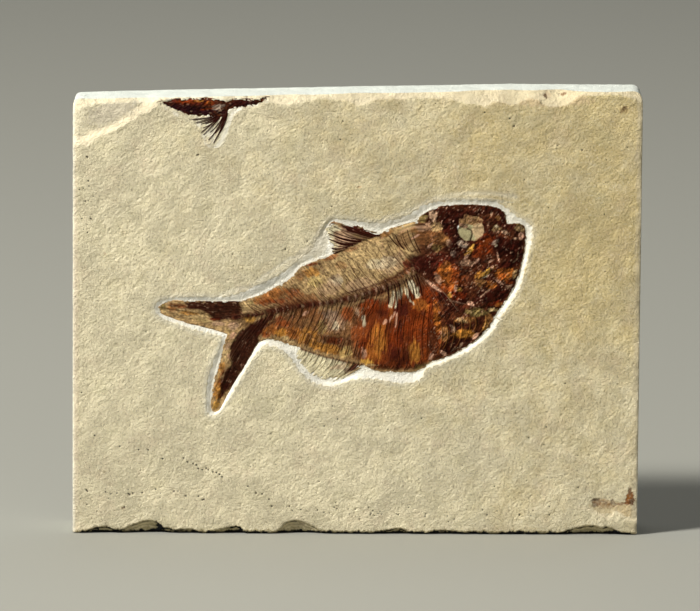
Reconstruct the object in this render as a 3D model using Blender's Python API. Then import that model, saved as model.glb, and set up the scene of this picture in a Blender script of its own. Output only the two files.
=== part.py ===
# A fossil fish slab: a split slab of pale limestone that stands on its long edge.
# One whole fish lies in a hollow dug round it, and part of a second fish is cut
# through by the slab's top edge.
#
# X runs along the slab, the face with the fish looks to -Y and +Z is up. The
# origin is the middle of the slab's footprint. Every size below is in
# millimetres; finished meshes are in metres. Places on the face are (x, z)
# pairs, and a depth is counted from the face into the stone.

import math

import bmesh
import bpy
from mathutils import Vector
from mathutils.geometry import intersect_point_line

MM = 0.001

# Slab
WIDTH = 180.0
THICKNESS = 20.0
HEIGHT = 141.4
FACE = -THICKNESS / 2
ABOVE_TOP = HEIGHT + 1.5         # how high a cutter reaches that opens at the top edge
SLAB_TOP = [(-87.0, 139.0), (-75.0, 139.6), (-50.0, 140.3), (0.0, 140.9), (50.0, 141.2), (86.5, HEIGHT)]
TOP_LEFT = (-88.9, 136.9)
TOP_RIGHT = (90.0, 138.0)
CORNER_STEPS = 4
EDGE_CHAMFER = 0.7               # worn width on the face, along the top and the right
LEFT_CHAMFER = 2.4               # the same along the left side, which is worn most
CHAMFER_DEPTH = 0.9

# Hollow round the fish, and the fish in it
HOLLOW_DEPTH = 1.1
HOLLOW_SLOPE = 0.72              # share of the way from rim to fish that the wall slopes
POCKET_DEPTH = 1.9
GAP = 0.3
RIM_DEPTH = 0.95                 # where the fish meets the hollow's floor
BACK_DEPTH = POCKET_DEPTH - GAP
TRUNK_SWELL = 0.45
HEAD_SWELL = 0.55
FIN_SWELL = 0.12
RIB_RISE = 0.2
RAY_RISE = 0.16
SPINE_RISE = 0.25
SPINE_HALF_WIDTH = 1.0
VERTEBRAE = 27
RAYS = {"dorsal": 11, "anal": 14, "upper_lobe": 8, "lower_lobe": 8, "edge_fan": 8}

# Outlines of the fish, from the snout over the back to the tail and along the belly
HEAD_TOP = [(53.5, 90.0), (54.0, 94.0), (53.9, 98.2), (52.3, 100.2), (48.3, 100.0), (47.5, 103.0),
            (45.5, 105.0), (42.0, 105.8), (36.0, 106.2), (30.0, 105.7), (26.0, 105.1), (20.5, 102.0),
            (20.0, 100.3)]
NAPE = [(20.0, 100.3), (15.0, 99.0), (10.0, 97.5), (7.7, 96.2)]
DORSAL_BASE = [(7.7, 96.2), (0.0, 93.0), (-7.0, 90.0)]
DORSAL_MARGIN = [(7.7, 96.2), (4.0, 97.8), (0.0, 99.0), (-6.3, 100.4), (-9.0, 98.3), (-9.5, 96.5),
                 (-8.5, 94.5), (-7.0, 90.0)]
REAR_BACK = [(-7.0, 90.0), (-12.0, 88.0), (-17.0, 86.2), (-20.0, 82.9), (-25.0, 79.8), (-30.0, 77.0),
             (-36.0, 74.6)]
UPPER_LEADING = [(-36.0, 74.6), (-45.0, 74.5), (-57.0, 74.8), (-60.5, 74.3)]
UPPER_TRAILING = [(-60.5, 74.3), (-62.2, 72.8), (-61.5, 71.3), (-58.0, 69.7), (-52.0, 67.8),
                  (-46.0, 66.4), (-40.0, 64.6)]
LOWER_TRAILING = [(-40.0, 64.6), (-41.5, 60.5), (-43.5, 53.0), (-44.8, 48.0), (-45.5, 41.5),
                  (-45.0, 38.8)]
LOWER_LEADING = [(-45.0, 38.8), (-43.2, 39.8), (-40.0, 46.5), (-35.0, 55.0), (-31.0, 62.2)]
REAR_BELLY = [(-31.0, 62.2), (-27.5, 62.8), (-24.0, 62.0), (-18.0, 60.0)]
ANAL_BASE = [(-18.0, 60.0), (-9.0, 57.0), (2.5, 54.6)]
ANAL_MARGIN = [(-18.0, 60.0), (-19.0, 58.0), (-17.3, 55.0), (-13.0, 51.0), (-7.0, 49.4), (-1.0, 51.6),
               (2.5, 54.6)]
FRONT_BELLY = [(2.5, 54.6), (6.5, 52.8), (14.0, 52.4), (20.5, 53.0), (23.5, 55.3)]
THROAT = [(23.5, 55.3), (30.0, 57.5), (37.0, 61.5), (42.0, 66.0), (46.0, 72.5), (50.5, 79.5),
          (52.5, 86.0), (53.5, 90.0)]

# Inside the fish
SPINE = [(21.0, 86.0), (16.0, 83.0), (12.0, 80.6), (3.0, 77.3), (-7.5, 74.6), (-18.0, 73.2),
         (-30.0, 71.0), (-38.0, 69.8)]
GILL_EDGE = [(20.0, 100.3), (17.0, 94.0), (15.8, 86.0), (17.0, 76.0), (20.0, 65.0), (23.5, 55.3)]
HEAD_CENTRE = (37.0, 83.0)
EYE_CENTRE = (36.5, 98.5)
EYE_PROFILE = [(0.0, 0.38), (3.4, 0.42), (4.3, 0.56), (4.8, 0.22), (5.5, 0.26), (6.2, 0.9)]
OPERCLE = [(20.5, 89.0), (18.2, 84.0), (19.0, 77.0), (21.5, 71.0), (25.5, 68.5), (29.5, 72.0),
           (32.5, 78.0), (33.5, 84.0), (32.0, 89.5), (27.0, 91.0)]
JAW_PLATE = [(51.6, 84.5), (49.8, 79.8), (46.5, 76.5), (41.0, 73.2), (37.5, 72.6), (38.5, 76.0),
             (43.5, 79.0), (48.0, 84.0)]
CHEEK = [(52.4, 96.5), (51.8, 90.0), (49.5, 86.6), (45.0, 84.6), (41.5, 88.0), (42.5, 93.0),
         (46.5, 97.5)]
HEAD_RIDGES = {                  # line, half width, rise
    "skull_roof": ([(23.0, 102.2), (30.0, 104.1), (38.0, 104.3), (44.0, 103.0), (46.0, 100.5)], 1.3, 0.3),
    "cheek_bar": ([(32.5, 93.0), (35.0, 87.0), (35.3, 80.0), (38.5, 75.5)], 0.9, 0.25),
    "snout": ([(46.5, 99.4), (49.5, 98.2), (52.5, 97.8)], 0.9, 0.25),
    "shoulder": ([(20.5, 91.0), (17.6, 84.0), (18.4, 75.0), (22.0, 66.0), (28.5, 60.0)], 0.8, 0.25),
}
THROAT_BARS = 6
THROAT_BAR_START = [(40.5, 72.0), (25.0, 68.0)]
THROAT_BAR_END = [(37.0, 63.0), (26.0, 57.5)]
SCUTES = 9

# Second fish, cut by the top edge
EDGE_BODY = [(-28.6, 139.6), (-30.5, 138.6), (-36.0, 137.6), (-39.2, 137.4), (-40.6, 134.6),
             (-45.0, 133.2), (-50.0, 133.6), (-55.0, 135.3), (-60.5, 138.2), (-63.0, 139.1)]
EDGE_FAN_BASE = [(-40.2, 136.9), (-43.0, 137.2), (-47.5, 136.1)]
EDGE_FAN_MARGIN = [(-43.0, 125.9), (-45.0, 125.7), (-46.6, 127.6), (-48.3, 131.6), (-49.8, 133.4)]
EDGE_RIM_DEPTH = 0.5
EDGE_HOLLOW_DEPTH = 0.7
EDGE_HOLLOW_SLOPE = 0.4
EDGE_POCKET_DEPTH = 1.4
EDGE_HOLLOW = [(-26.0, 138.9), (-31.0, 137.4), (-36.2, 136.4), (-38.6, 133.0), (-41.2, 126.3),
               (-44.0, 124.4), (-47.2, 125.6), (-49.6, 131.0), (-55.5, 134.0), (-61.5, 137.3),
               (-65.0, 139.0)]
EDGE_BONES = [((-29.4, 139.4), (-35.5, 138.4)), ((-31.5, 138.7), (-38.5, 139.2)),
              ((-48.0, 138.6), (-58.0, 138.0))]

# Outer rim of the hollow dug round the fish
HOLLOW_RIM = [
    (50.0, 103.5), (53.0, 101.7), (56.0, 99.5), (56.3, 95.0), (54.5, 86.0), (52.3, 79.0), (48.0, 72.0),
    (43.0, 64.5), (37.5, 60.0), (31.0, 56.3), (23.5, 53.6), (20.5, 49.7), (14.0, 48.7), (6.0, 50.0),
    (-1.0, 49.8), (-7.0, 47.6), (-14.0, 49.2), (-19.0, 54.0), (-22.5, 58.5), (-27.0, 60.5), (-30.0, 59.8),
    (-35.0, 52.0), (-40.0, 43.0), (-43.5, 38.0), (-45.5, 37.2), (-47.3, 39.0), (-47.6, 47.0), (-45.5, 56.0),
    (-42.6, 63.0), (-50.0, 65.0), (-60.0, 68.5), (-63.3, 70.5), (-63.9, 73.2), (-62.0, 75.6), (-52.0, 76.6),
    (-42.0, 76.6), (-34.5, 79.0), (-25.0, 83.4), (-19.0, 87.8), (-14.2, 91.8), (-11.0, 97.8), (-7.5, 101.3),
    (0.0, 100.8), (8.0, 100.0), (16.0, 102.2), (23.0, 106.2), (33.0, 107.8), (45.0, 107.2)]

# Where stone has broken away: (centre along X, half width, reach from the edge)
FOOT_CHIPS = [(-82.0, 5.2, 1.7), (-67.5, 7.6, 4.0), (-54.0, 3.6, 1.1), (-39.0, 4.6, 2.0), (-18.0, 9.0, 4.6),
              (13.5, 6.2, 1.9), (30.0, 6.2, 1.3), (75.0, 6.5, 1.7), (83.0, 3.4, 1.2)]
CREST_CHIPS = [(-22.5, 6.0, 2.6), (1.5, 5.0, 3.2), (37.5, 8.5, 3.2), (49.5, 3.6, 2.8), (62.5, 6.4, 3.5)]
CHIP_DEPTH = 1.7
CHIP_OUTSIDE = 0.13              # how far outside the edge a chip's ball is centred
CORNER_FLAKE = [(-87.6, 125.4), (-84.5, 126.3), (-80.0, 128.5), (-75.0, 131.2), (-70.0, 134.2),
                (-67.3, 137.2), (-66.0, 142.5)]
CORNER_FLAKE_DEPTH = 0.9
CORNER_FLAKE_SLOPE = 1.7

# Colour (linear), roughness
FINISHES = {
    "limestone": ((0.56, 0.47, 0.31), 0.9),
    "fossil_bone": ((0.10, 0.035, 0.014), 0.6),
}


# ---- lines on the face ----

def smooth(points, steps=3):
    """Points on a Catmull-Rom curve through the given ones."""
    line = []
    for i in range(len(points) - 1):
        p1, p2 = Vector(points[i]), Vector(points[i + 1])
        p0 = Vector(points[i - 1]) if i else 2 * p1 - p2
        p3 = Vector(points[i + 2]) if i + 2 < len(points) else 2 * p2 - p1
        for step in range(steps):
            t = step / steps
            line.append(0.5 * (2 * p1 + (p2 - p0) * t + (2 * p0 - 5 * p1 + 4 * p2 - p3) * t * t
                               + (3 * p1 - p0 - 3 * p2 + p3) * t ** 3))
    line.append(Vector(points[-1]))
    return line


def along(line, share):
    """The point at a share, 0 to 1, of a line's length."""
    line = [Vector(p) for p in line]
    lengths = [(b - a).length for a, b in zip(line, line[1:])]
    left = min(max(share, 0.0), 1.0) * sum(lengths)
    for a, b, length in zip(line, line[1:], lengths):
        if left <= length:
            return a.lerp(b, left / length)
        left -= length
    return line[-1]


def chain(*lines):
    """One line from several that each start where the last one ends."""
    joined = []
    for line in lines:
        joined += list(line)[:-1]
    return joined + [lines[-1][-1]]


def grown(loop, margin):
    """A closed outline moved outwards by a margin."""
    loop = [Vector(p) for p in loop]
    turn = sum(a.x * b.y - b.x * a.y for a, b in zip(loop, loop[1:] + loop[:1]))
    side = math.copysign(1.0, turn)
    moved = []
    for i, point in enumerate(loop):
        before = (point - loop[i - 1]).normalized()
        after = (loop[(i + 1) % len(loop)] - point).normalized()
        normal = Vector((before.y + after.y, -before.x - after.x)).normalized() * side
        miter = max(0.5, normal.dot(Vector((after.y, -after.x)) * side))
        moved.append(point + normal * margin / miter)
    return moved


def nearest_on(loop, point):
    """The point of a closed outline that lies nearest to a place."""
    found = []
    for a, b in zip(loop, loop[1:] + loop[:1]):
        foot, share = intersect_point_line(point, a, b)
        found.append(a.lerp(b, min(max(share, 0.0), 1.0)))
    return min(found, key=lambda place: (place - point).length)


def towards(loop, goal, share):
    """A loop whose points are moved a share of the way to the nearest point of a goal outline."""
    return [point.lerp(nearest_on(goal, point), share) for point in loop]


def fish_outline():
    lines = [HEAD_TOP, NAPE, DORSAL_MARGIN, REAR_BACK, UPPER_LEADING, UPPER_TRAILING, LOWER_TRAILING,
             LOWER_LEADING, REAR_BELLY, ANAL_MARGIN, FRONT_BELLY, THROAT]
    return chain(*[smooth(line, 2) for line in lines])[:-1]


def edge_fish_outline():
    """The second fish's outline, carried on past the slab's top edge."""
    crest = [(EDGE_BODY[-1][0], ABOVE_TOP), (EDGE_BODY[0][0], ABOVE_TOP)]
    before_fan = [p for p in EDGE_BODY if p[0] > EDGE_FAN_BASE[0][0]]
    after_fan = [p for p in EDGE_BODY if p[0] < EDGE_FAN_MARGIN[-1][0]]
    return [Vector(p) for p in crest + before_fan] + smooth(EDGE_FAN_MARGIN, 2) + \
        [Vector(p) for p in after_fan]


# ---- solids ----

def make_object(name, points, faces):
    """An object from points in millimetres, its four-sided faces split and all turned outwards."""
    mesh = bpy.data.meshes.new(name)
    mesh.from_pydata([Vector(p) * MM for p in points], [], faces)
    edit = bmesh.new()
    edit.from_mesh(mesh)
    bmesh.ops.triangulate(edit, faces=[face for face in edit.faces if len(face.verts) == 4])
    bmesh.ops.recalc_face_normals(edit, faces=edit.faces)
    edit.to_mesh(mesh)
    edit.free()
    thing = bpy.data.objects.new(name, mesh)
    bpy.context.scene.collection.objects.link(thing)
    return thing


def stacked(name, loops):
    """A closed solid through loops of equal length, each given as (outline, depth)."""
    count = len(loops[0][0])
    points = [(p[0], FACE + depth, p[1]) for outline, depth in loops for p in outline]
    faces = [list(range(count)), list(range((len(loops) - 1) * count, len(loops) * count))]
    for level in range(len(loops) - 1):
        for i in range(count):
            j = (i + 1) % count
            low, high = level * count, (level + 1) * count
            faces.append([low + i, low + j, high + j, high + i])
    return make_object(name, points, faces)


def sheet(name, columns, depths, back):
    """A closed solid whose front is a grid of columns at given depths, and whose back is flat."""
    wide, tall = len(columns), len(columns[0])
    points = [(p[0], FACE + d, p[1]) for column, line in zip(columns, depths) for p, d in zip(column, line)]
    faces = [[i * tall + j, (i + 1) * tall + j, (i + 1) * tall + j + 1, i * tall + j + 1]
             for i in range(wide - 1) for j in range(tall - 1)]
    border = [i * tall for i in range(wide)]
    border += [(wide - 1) * tall + j for j in range(1, tall)]
    border += [i * tall + tall - 1 for i in range(wide - 2, -1, -1)]
    border += [j for j in range(tall - 2, 0, -1)]
    first = len(points)
    points += [(points[k][0], FACE + back, points[k][2]) for k in border]
    faces.append(list(range(first, first + len(border))))
    for n, k in enumerate(border):
        m = (n + 1) % len(border)
        faces.append([k, border[m], first + m, first + n])
    return make_object(name, points, faces)


def ridge(name, line, half_width, rise, depth_at, buried=0.3):
    """A tapering tent along a line, its foot buried in what carries it."""
    points, faces = [], []
    line = [Vector(p) for p in line]
    for i, point in enumerate(line):
        ahead = (line[min(i + 1, len(line) - 1)] - line[max(i - 1, 0)]).normalized()
        side = Vector((-ahead.y, ahead.x))
        share = i / (len(line) - 1)
        full = 1.0 - 0.6 * abs(2 * share - 1) ** 2
        left, right = point + side * half_width * full, point - side * half_width * full
        depth = depth_at(point)
        points += [(left.x, FACE + depth + buried, left.y), (point.x, FACE + depth - rise * full, point.y),
                   (right.x, FACE + depth + buried, right.y)]
    for i in range(len(line) - 1):
        a, b = 3 * i, 3 * i + 3
        faces += [[a, a + 1, b + 1, b], [a + 1, a + 2, b + 2, b + 1], [a + 2, a, b, b + 2]]
    last = len(points) - 3
    faces += [[0, 2, 1], [last, last + 1, last + 2]]
    return make_object(name, points, faces)


def plate(name, outline, depth_at, rise):
    """A low crowned plate of bone on the head."""
    outline = smooth(outline + outline[:1], 2)[:-1]
    centre = sum(outline, Vector((0.0, 0.0))) / len(outline)
    shares = [(0.0, 0.3), (0.0, 0.0), (0.35, -rise), (0.75, -rise * 1.2)]
    points, faces = [], []
    for share, drop in shares:
        for point in outline:
            p = point.lerp(centre, share)
            points.append((p.x, FACE + depth_at(p) + drop, p.y))
    count = len(outline)
    for level in range(len(shares) - 1):
        for i in range(count):
            j = (i + 1) % count
            low, high = level * count, (level + 1) * count
            faces.append([low + i, low + j, high + j, high + i])
    faces += [list(range(count)), list(range(3 * count, 4 * count))]
    return make_object(name, points, faces)


def turned(name, centre, profile, segments=20):
    """A disc turned about the depth axis from a profile of (radius, depth)."""
    edit = bmesh.new()
    line = [edit.verts.new(Vector((radius, FACE + depth, 0.0)) * MM) for radius, depth in profile]
    line.append(edit.verts.new(Vector((0.0, FACE + profile[-1][1] + 0.3, 0.0)) * MM))
    edges = [edit.edges.new(pair) for pair in zip(line, line[1:])]
    bmesh.ops.spin(edit, geom=line + edges, cent=(0, 0, 0), axis=(0, 1, 0), angle=2 * math.pi,
                   steps=segments, use_duplicate=False)
    bmesh.ops.remove_doubles(edit, verts=edit.verts, dist=0.01 * MM)
    bmesh.ops.recalc_face_normals(edit, faces=edit.faces)
    bmesh.ops.translate(edit, verts=edit.verts, vec=Vector((centre[0], 0.0, centre[1])) * MM)
    mesh = bpy.data.meshes.new(name)
    edit.to_mesh(mesh)
    edit.free()
    thing = bpy.data.objects.new(name, mesh)
    bpy.context.scene.collection.objects.link(thing)
    return thing


def combine(target, operation, helpers):
    """Join helpers to a target, or cut them from it, and keep them as wire guides."""
    for helper in helpers:
        helper.hide_render = True
        helper.display_type = "WIRE"
        boolean = target.modifiers.new(helper.name, "BOOLEAN")
        boolean.operation = operation
        boolean.solver = "EXACT"
        boolean.object = helper


# ---- the stone ----

def slab_outline(left=0.0, top=0.0, right=0.0):
    """The slab's front outline with its two upper corners rounded, drawn in by a margin on each side."""
    crest = [Vector(p) - Vector((0.0, top)) for p in SLAB_TOP]
    low_left = Vector(TOP_LEFT) + Vector((left, -top))
    low_right = Vector(TOP_RIGHT) - Vector((right, top))
    crest[0].x += left
    crest[-1].x -= right
    left_corner = corner(low_left, Vector((low_left.x, crest[0].y)), crest[0])
    right_corner = corner(crest[-1], Vector((low_right.x, crest[-1].y)), low_right)
    feet = Vector((left - WIDTH / 2, 0.0)), Vector((WIDTH / 2 - right, 0.0))
    return [feet[0]] + left_corner + crest[1:-1] + right_corner + [feet[1]]


def corner(start, bend, end):
    """A round corner, as a quadratic curve bent towards a point."""
    steps = [i / CORNER_STEPS for i in range(CORNER_STEPS + 1)]
    return [start.lerp(bend, t).lerp(bend.lerp(end, t), t) for t in steps]


def slab_body():
    """The slab, its face drawn in by the wear along its edges."""
    face = slab_outline(LEFT_CHAMFER, EDGE_CHAMFER, EDGE_CHAMFER)
    outline = slab_outline()
    return stacked("limestone_slab", [(face, 0.0), (outline, CHAMFER_DEPTH), (outline, THICKNESS)])


def hollow_cutter(name, rim, floor, depth):
    return stacked(name, [(rim, -1.0), (rim, 0.0), (floor, depth)])


def pocket_cutter(name, outline, depth):
    return stacked(name, [(outline, -1.0), (outline, depth)])


def chip_cutter(name, centre, reach):
    """A flattened ball that scoops a shell-shaped chip out of a front edge."""
    edit = bmesh.new()
    bmesh.ops.create_icosphere(edit, subdivisions=2, radius=1.0)
    for vert in edit.verts:
        vert.co = Vector((centre[0] + vert.co.x * reach[0], FACE - CHIP_OUTSIDE + vert.co.y * CHIP_DEPTH,
                          centre[1] + vert.co.z * reach[1])) * MM
    mesh = bpy.data.meshes.new(name)
    edit.to_mesh(mesh)
    edit.free()
    thing = bpy.data.objects.new(name, mesh)
    bpy.context.scene.collection.objects.link(thing)
    return thing


def corner_flake_cutter():
    """The thin layer that has come off the top left corner, with its sloping ledge."""
    ledge = smooth(CORNER_FLAKE, 2)
    uphill = Vector((-0.5, 0.85)) * CORNER_FLAKE_SLOPE
    outside = [Vector((ledge[-1].x, ABOVE_TOP)), Vector((-WIDTH, ABOVE_TOP)), Vector((-WIDTH, ledge[0].y))]
    rim = ledge + outside
    floor = [p + uphill for p in rim]
    return hollow_cutter("corner_flake", rim, floor, CORNER_FLAKE_DEPTH)


def build_slab():
    slab = slab_body()
    outline = fish_outline()
    rim = smooth(HOLLOW_RIM + HOLLOW_RIM[:1], 2)[:-1]
    edge_outline = edge_fish_outline()
    edge_rim = [Vector((EDGE_HOLLOW[-1][0], ABOVE_TOP)), Vector((EDGE_HOLLOW[0][0], ABOVE_TOP))]
    edge_rim += smooth(EDGE_HOLLOW, 2)
    edge_floor = towards(edge_rim, edge_outline, EDGE_HOLLOW_SLOPE)
    cutters = [
        hollow_cutter("hollow", rim, towards(rim, outline, HOLLOW_SLOPE), HOLLOW_DEPTH),
        pocket_cutter("pocket", grown(outline, GAP), POCKET_DEPTH),
        hollow_cutter("edge_hollow", edge_rim, edge_floor, EDGE_HOLLOW_DEPTH),
        pocket_cutter("edge_pocket", grown(edge_outline, GAP), EDGE_POCKET_DEPTH),
        corner_flake_cutter()]
    for number, (centre, half, reach) in enumerate(FOOT_CHIPS):
        cutters.append(chip_cutter(f"foot_chip_{number}", (centre, -CHIP_OUTSIDE), (half, reach)))
    for number, (centre, half, reach) in enumerate(CREST_CHIPS):
        cutters.append(chip_cutter(f"crest_chip_{number}", (centre, HEIGHT - CHIP_OUTSIDE), (half, reach)))
    combine(slab, "DIFFERENCE", cutters)
    return slab


# ---- the whole fish ----

def trunk():
    """The trunk: one grid that carries the spine, a rib below and a spine above each vertebra."""
    back = chain(smooth(NAPE), smooth(DORSAL_BASE), smooth(REAR_BACK), smooth([REAR_BACK[-1], (-38.5, 73.6)]))
    belly = chain(smooth(list(reversed(FRONT_BELLY))), smooth(list(reversed(ANAL_BASE))),
                  smooth(list(reversed(REAR_BELLY))), smooth([REAR_BELLY[0], (-38.0, 66.0)]))
    spine = smooth(SPINE)
    columns, depths = [], []
    pitch = 1.0 / (VERTEBRAE - 1)
    for number in range(VERTEBRAE):
        for shift, crest in ((-0.3, 0.0), (0.0, 1.0), (0.3, 0.0)):
            share = (number + shift) * pitch
            if share < 0.0 or share > 1.0:
                continue
            lean = 0.07 * math.sin(math.pi * share)
            middle = along(spine, share)
            low, high = along(belly, share + lean), along(back, share + lean)
            near = SPINE_HALF_WIDTH
            stops = [(low, middle, t) for t in (0.0, 0.12, 0.5)]
            column = [a.lerp(b, t) for a, b, t in stops]
            column += [middle + (low - middle).normalized() * near, middle,
                       middle + (high - middle).normalized() * near]
            column += [middle.lerp(high, t) for t in (0.5, 0.88, 1.0)]
            swell = TRUNK_SWELL * min(1.0, 4 * (1.0 - share) + 0.3)
            rises = [0.0, 0.6, 0.95, 1.0, 1.0, 1.0, 0.95, 0.6, 0.0]
            ribs = [0.0, 0.8, 1.0, 0.6, 0.0, 0.6, 1.0, 0.8, 0.0]
            line = [RIM_DEPTH - swell * rise - RIB_RISE * crest * rib for rise, rib in zip(rises, ribs)]
            line[4] -= SPINE_RISE * (0.6 if crest else 1.0)
            columns.append(column)
            depths.append(line)
    return sheet("fossil_fish", columns, depths, BACK_DEPTH)


def fin(name, base, margin, rays, rim_depth=RIM_DEPTH, back_depth=BACK_DEPTH):
    """A fin as a fan of rays from its base to its margin."""
    columns, depths = [], []
    pitch = 1.0 / (rays - 1)
    for number in range(rays):
        for shift, crest in ((-0.3, 0.0), (0.0, 1.0), (0.3, 0.0)):
            share = (number + shift) * pitch
            if share < 0.0 or share > 1.0:
                continue
            start, end = along(base, share), along(margin, share)
            columns.append([start.lerp(end, t) for t in (0.0, 0.4, 0.85, 1.0)])
            depths.append([rim_depth - FIN_SWELL * rise - RAY_RISE * crest * tip
                           for rise, tip in ((1.6, 1.0), (1.4, 1.0), (0.6, 0.6), (0.0, 0.0))])
    return sheet(name, columns, depths, back_depth)


def head():
    """The head as a low dome inside its outline."""
    outline = chain(smooth(HEAD_TOP, 2), smooth(GILL_EDGE, 2), smooth(THROAT, 2))[:-1]
    centre = Vector(HEAD_CENTRE)
    levels = [(0.0, 0.0), (0.06, 0.35), (0.2, 0.7), (0.45, 0.93), (0.8, 1.0)]
    loops = [(outline, BACK_DEPTH)]
    for share, rise in levels:
        loops.append(([p.lerp(centre, share) for p in outline], RIM_DEPTH - HEAD_SWELL * rise))
    return stacked("head", loops)


def head_bones():
    """Plates and bars of bone that stand proud of the head."""
    def level(point):
        outline = chain(HEAD_TOP, GILL_EDGE, THROAT)
        gap = min((Vector(p) - point).length for p in outline)
        return RIM_DEPTH - HEAD_SWELL * min(1.0, 0.45 + gap / 14.0)

    bones = [plate("opercle", OPERCLE, level, 0.22), plate("jaw_plate", JAW_PLATE, level, 0.25),
             plate("cheek", CHEEK, level, 0.2)]
    bones.append(turned("eye", EYE_CENTRE, EYE_PROFILE))
    for name, (line, half_width, rise) in HEAD_RIDGES.items():
        bones.append(ridge(name, smooth(line, 2), half_width, rise, level))
    for number in range(THROAT_BARS):
        share = number / (THROAT_BARS - 1)
        start, end = along(THROAT_BAR_START, share), along(THROAT_BAR_END, share)
        bend = start.lerp(end, 0.5) + Vector((0.6, 0.6))
        bones.append(ridge(f"throat_bar_{number}", [start, bend, end], 0.6, 0.2, level))
    return bones


def scutes():
    """Small keeled plates along the belly's edge."""
    keels = []
    for number in range(SCUTES):
        share = (number + 0.5) / SCUTES
        place = along(FRONT_BELLY, 0.15 + 0.8 * share)
        tip, root = place + Vector((-1.1, 0.35)), place + Vector((1.3, 1.5))
        keels.append(ridge(f"scute_{number}", [tip, tip.lerp(root, 0.5), root], 0.55, 0.3,
                           lambda point: RIM_DEPTH - 0.15))
    return keels


def build_fish():
    fish = trunk()
    pieces = [
        fin("dorsal_fin", [(8.2, 94.8), (0.0, 91.9), (-7.2, 88.9)],
            chain(DORSAL_MARGIN[3:4] + [(-8.0, 99.3)], [(-8.0, 99.3)] + DORSAL_MARGIN[4:]), RAYS["dorsal"]),
        fin("anal_fin", [(-17.4, 60.9), (-9.0, 58.2), (3.0, 56.0)], smooth(ANAL_MARGIN[1:], 2), RAYS["anal"]),
        fin("upper_lobe", [(-34.0, 74.6), (-37.0, 67.6)], smooth(UPPER_TRAILING, 2), RAYS["upper_lobe"]),
        fin("lower_lobe", [(-31.8, 63.8), (-36.5, 68.2)], list(reversed(smooth(LOWER_TRAILING, 2))),
            RAYS["lower_lobe"]),
        head()]
    combine(fish, "UNION", pieces + head_bones() + scutes())
    return fish


# ---- the fish at the top edge ----

def build_edge_fish():
    """Flank and fan of the second fish, flush with the slab's sawn top."""
    crest = [(-28.6, 140.0), (-45.0, 140.0), (-63.0, 139.5)]
    count = 24
    columns, depths = [], []
    lower = smooth(EDGE_BODY, 2)
    for number in range(count):
        share = number / (count - 1)
        low, high = along(lower, share), along(crest, share)
        columns.append([low.lerp(high, t) for t in (0.0, 0.3, 0.7, 1.0)])
        crease = 0.12 * (number % 2)
        depths.append([EDGE_RIM_DEPTH, EDGE_RIM_DEPTH - 0.3 - crease, EDGE_RIM_DEPTH - 0.35 + crease,
                       EDGE_RIM_DEPTH])
    back = EDGE_POCKET_DEPTH - GAP
    fish = sheet("edge_fish", columns, depths, back)
    fan = fin("edge_fan", EDGE_FAN_BASE, EDGE_FAN_MARGIN, RAYS["edge_fan"], EDGE_RIM_DEPTH, back)
    bones = [ridge(f"edge_bone_{n}", [a, Vector(a).lerp(Vector(b), 0.5), b], 0.5, 0.2,
                   lambda point: EDGE_RIM_DEPTH - 0.2) for n, (a, b) in enumerate(EDGE_BONES)]
    combine(fish, "UNION", [fan] + bones)
    return fish


# ---- finishes ----

def finish(name):
    colour, roughness = FINISHES[name]
    material = bpy.data.materials.new(name)
    material.use_nodes = True
    shader = material.node_tree.nodes["Principled BSDF"]
    shader.inputs["Base Color"].default_value = (*colour, 1.0)
    shader.inputs["Roughness"].default_value = roughness
    shader.inputs["Metallic"].default_value = 0.0
    return material


def main():
    for old in list(bpy.data.objects):
        bpy.data.objects.remove(old)
    stone, bone = finish("limestone"), finish("fossil_bone")
    build_slab().data.materials.append(stone)
    build_fish().data.materials.append(bone)
    build_edge_fish().data.materials.append(bone)


main()
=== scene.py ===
import math
from types import SimpleNamespace

import bpy
import numpy as np
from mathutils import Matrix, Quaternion, Vector
from mathutils.geometry import delaunay_2d_cdt


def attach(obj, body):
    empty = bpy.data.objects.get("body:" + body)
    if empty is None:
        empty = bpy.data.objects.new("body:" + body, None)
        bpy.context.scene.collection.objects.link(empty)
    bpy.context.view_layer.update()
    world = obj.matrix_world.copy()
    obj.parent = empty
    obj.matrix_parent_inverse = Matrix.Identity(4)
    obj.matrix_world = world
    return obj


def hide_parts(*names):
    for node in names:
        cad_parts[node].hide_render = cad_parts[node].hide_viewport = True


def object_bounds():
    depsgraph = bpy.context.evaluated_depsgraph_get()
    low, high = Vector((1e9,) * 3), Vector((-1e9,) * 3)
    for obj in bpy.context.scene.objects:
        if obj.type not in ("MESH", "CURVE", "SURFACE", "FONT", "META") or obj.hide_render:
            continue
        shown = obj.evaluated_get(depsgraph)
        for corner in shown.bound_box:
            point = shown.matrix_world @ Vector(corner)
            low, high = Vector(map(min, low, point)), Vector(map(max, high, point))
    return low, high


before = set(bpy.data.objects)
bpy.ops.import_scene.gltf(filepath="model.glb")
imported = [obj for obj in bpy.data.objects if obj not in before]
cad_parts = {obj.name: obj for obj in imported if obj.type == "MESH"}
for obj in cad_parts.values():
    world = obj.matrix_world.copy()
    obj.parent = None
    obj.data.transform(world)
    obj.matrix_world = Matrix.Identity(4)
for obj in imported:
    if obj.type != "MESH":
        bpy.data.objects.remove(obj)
cadLow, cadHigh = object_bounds()

# Places on the face are (x, z) pairs in millimetres, and a depth is counted from
# the face into the stone, as in the solids. Meshes are written in metres.
mm = 0.001
faceY = cadLow.y / mm
slabWidth = (cadHigh.x - cadLow.x) / mm
slabThickness = (cadHigh.y - cadLow.y) / mm
slabHeight = cadHigh.z / mm

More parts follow.
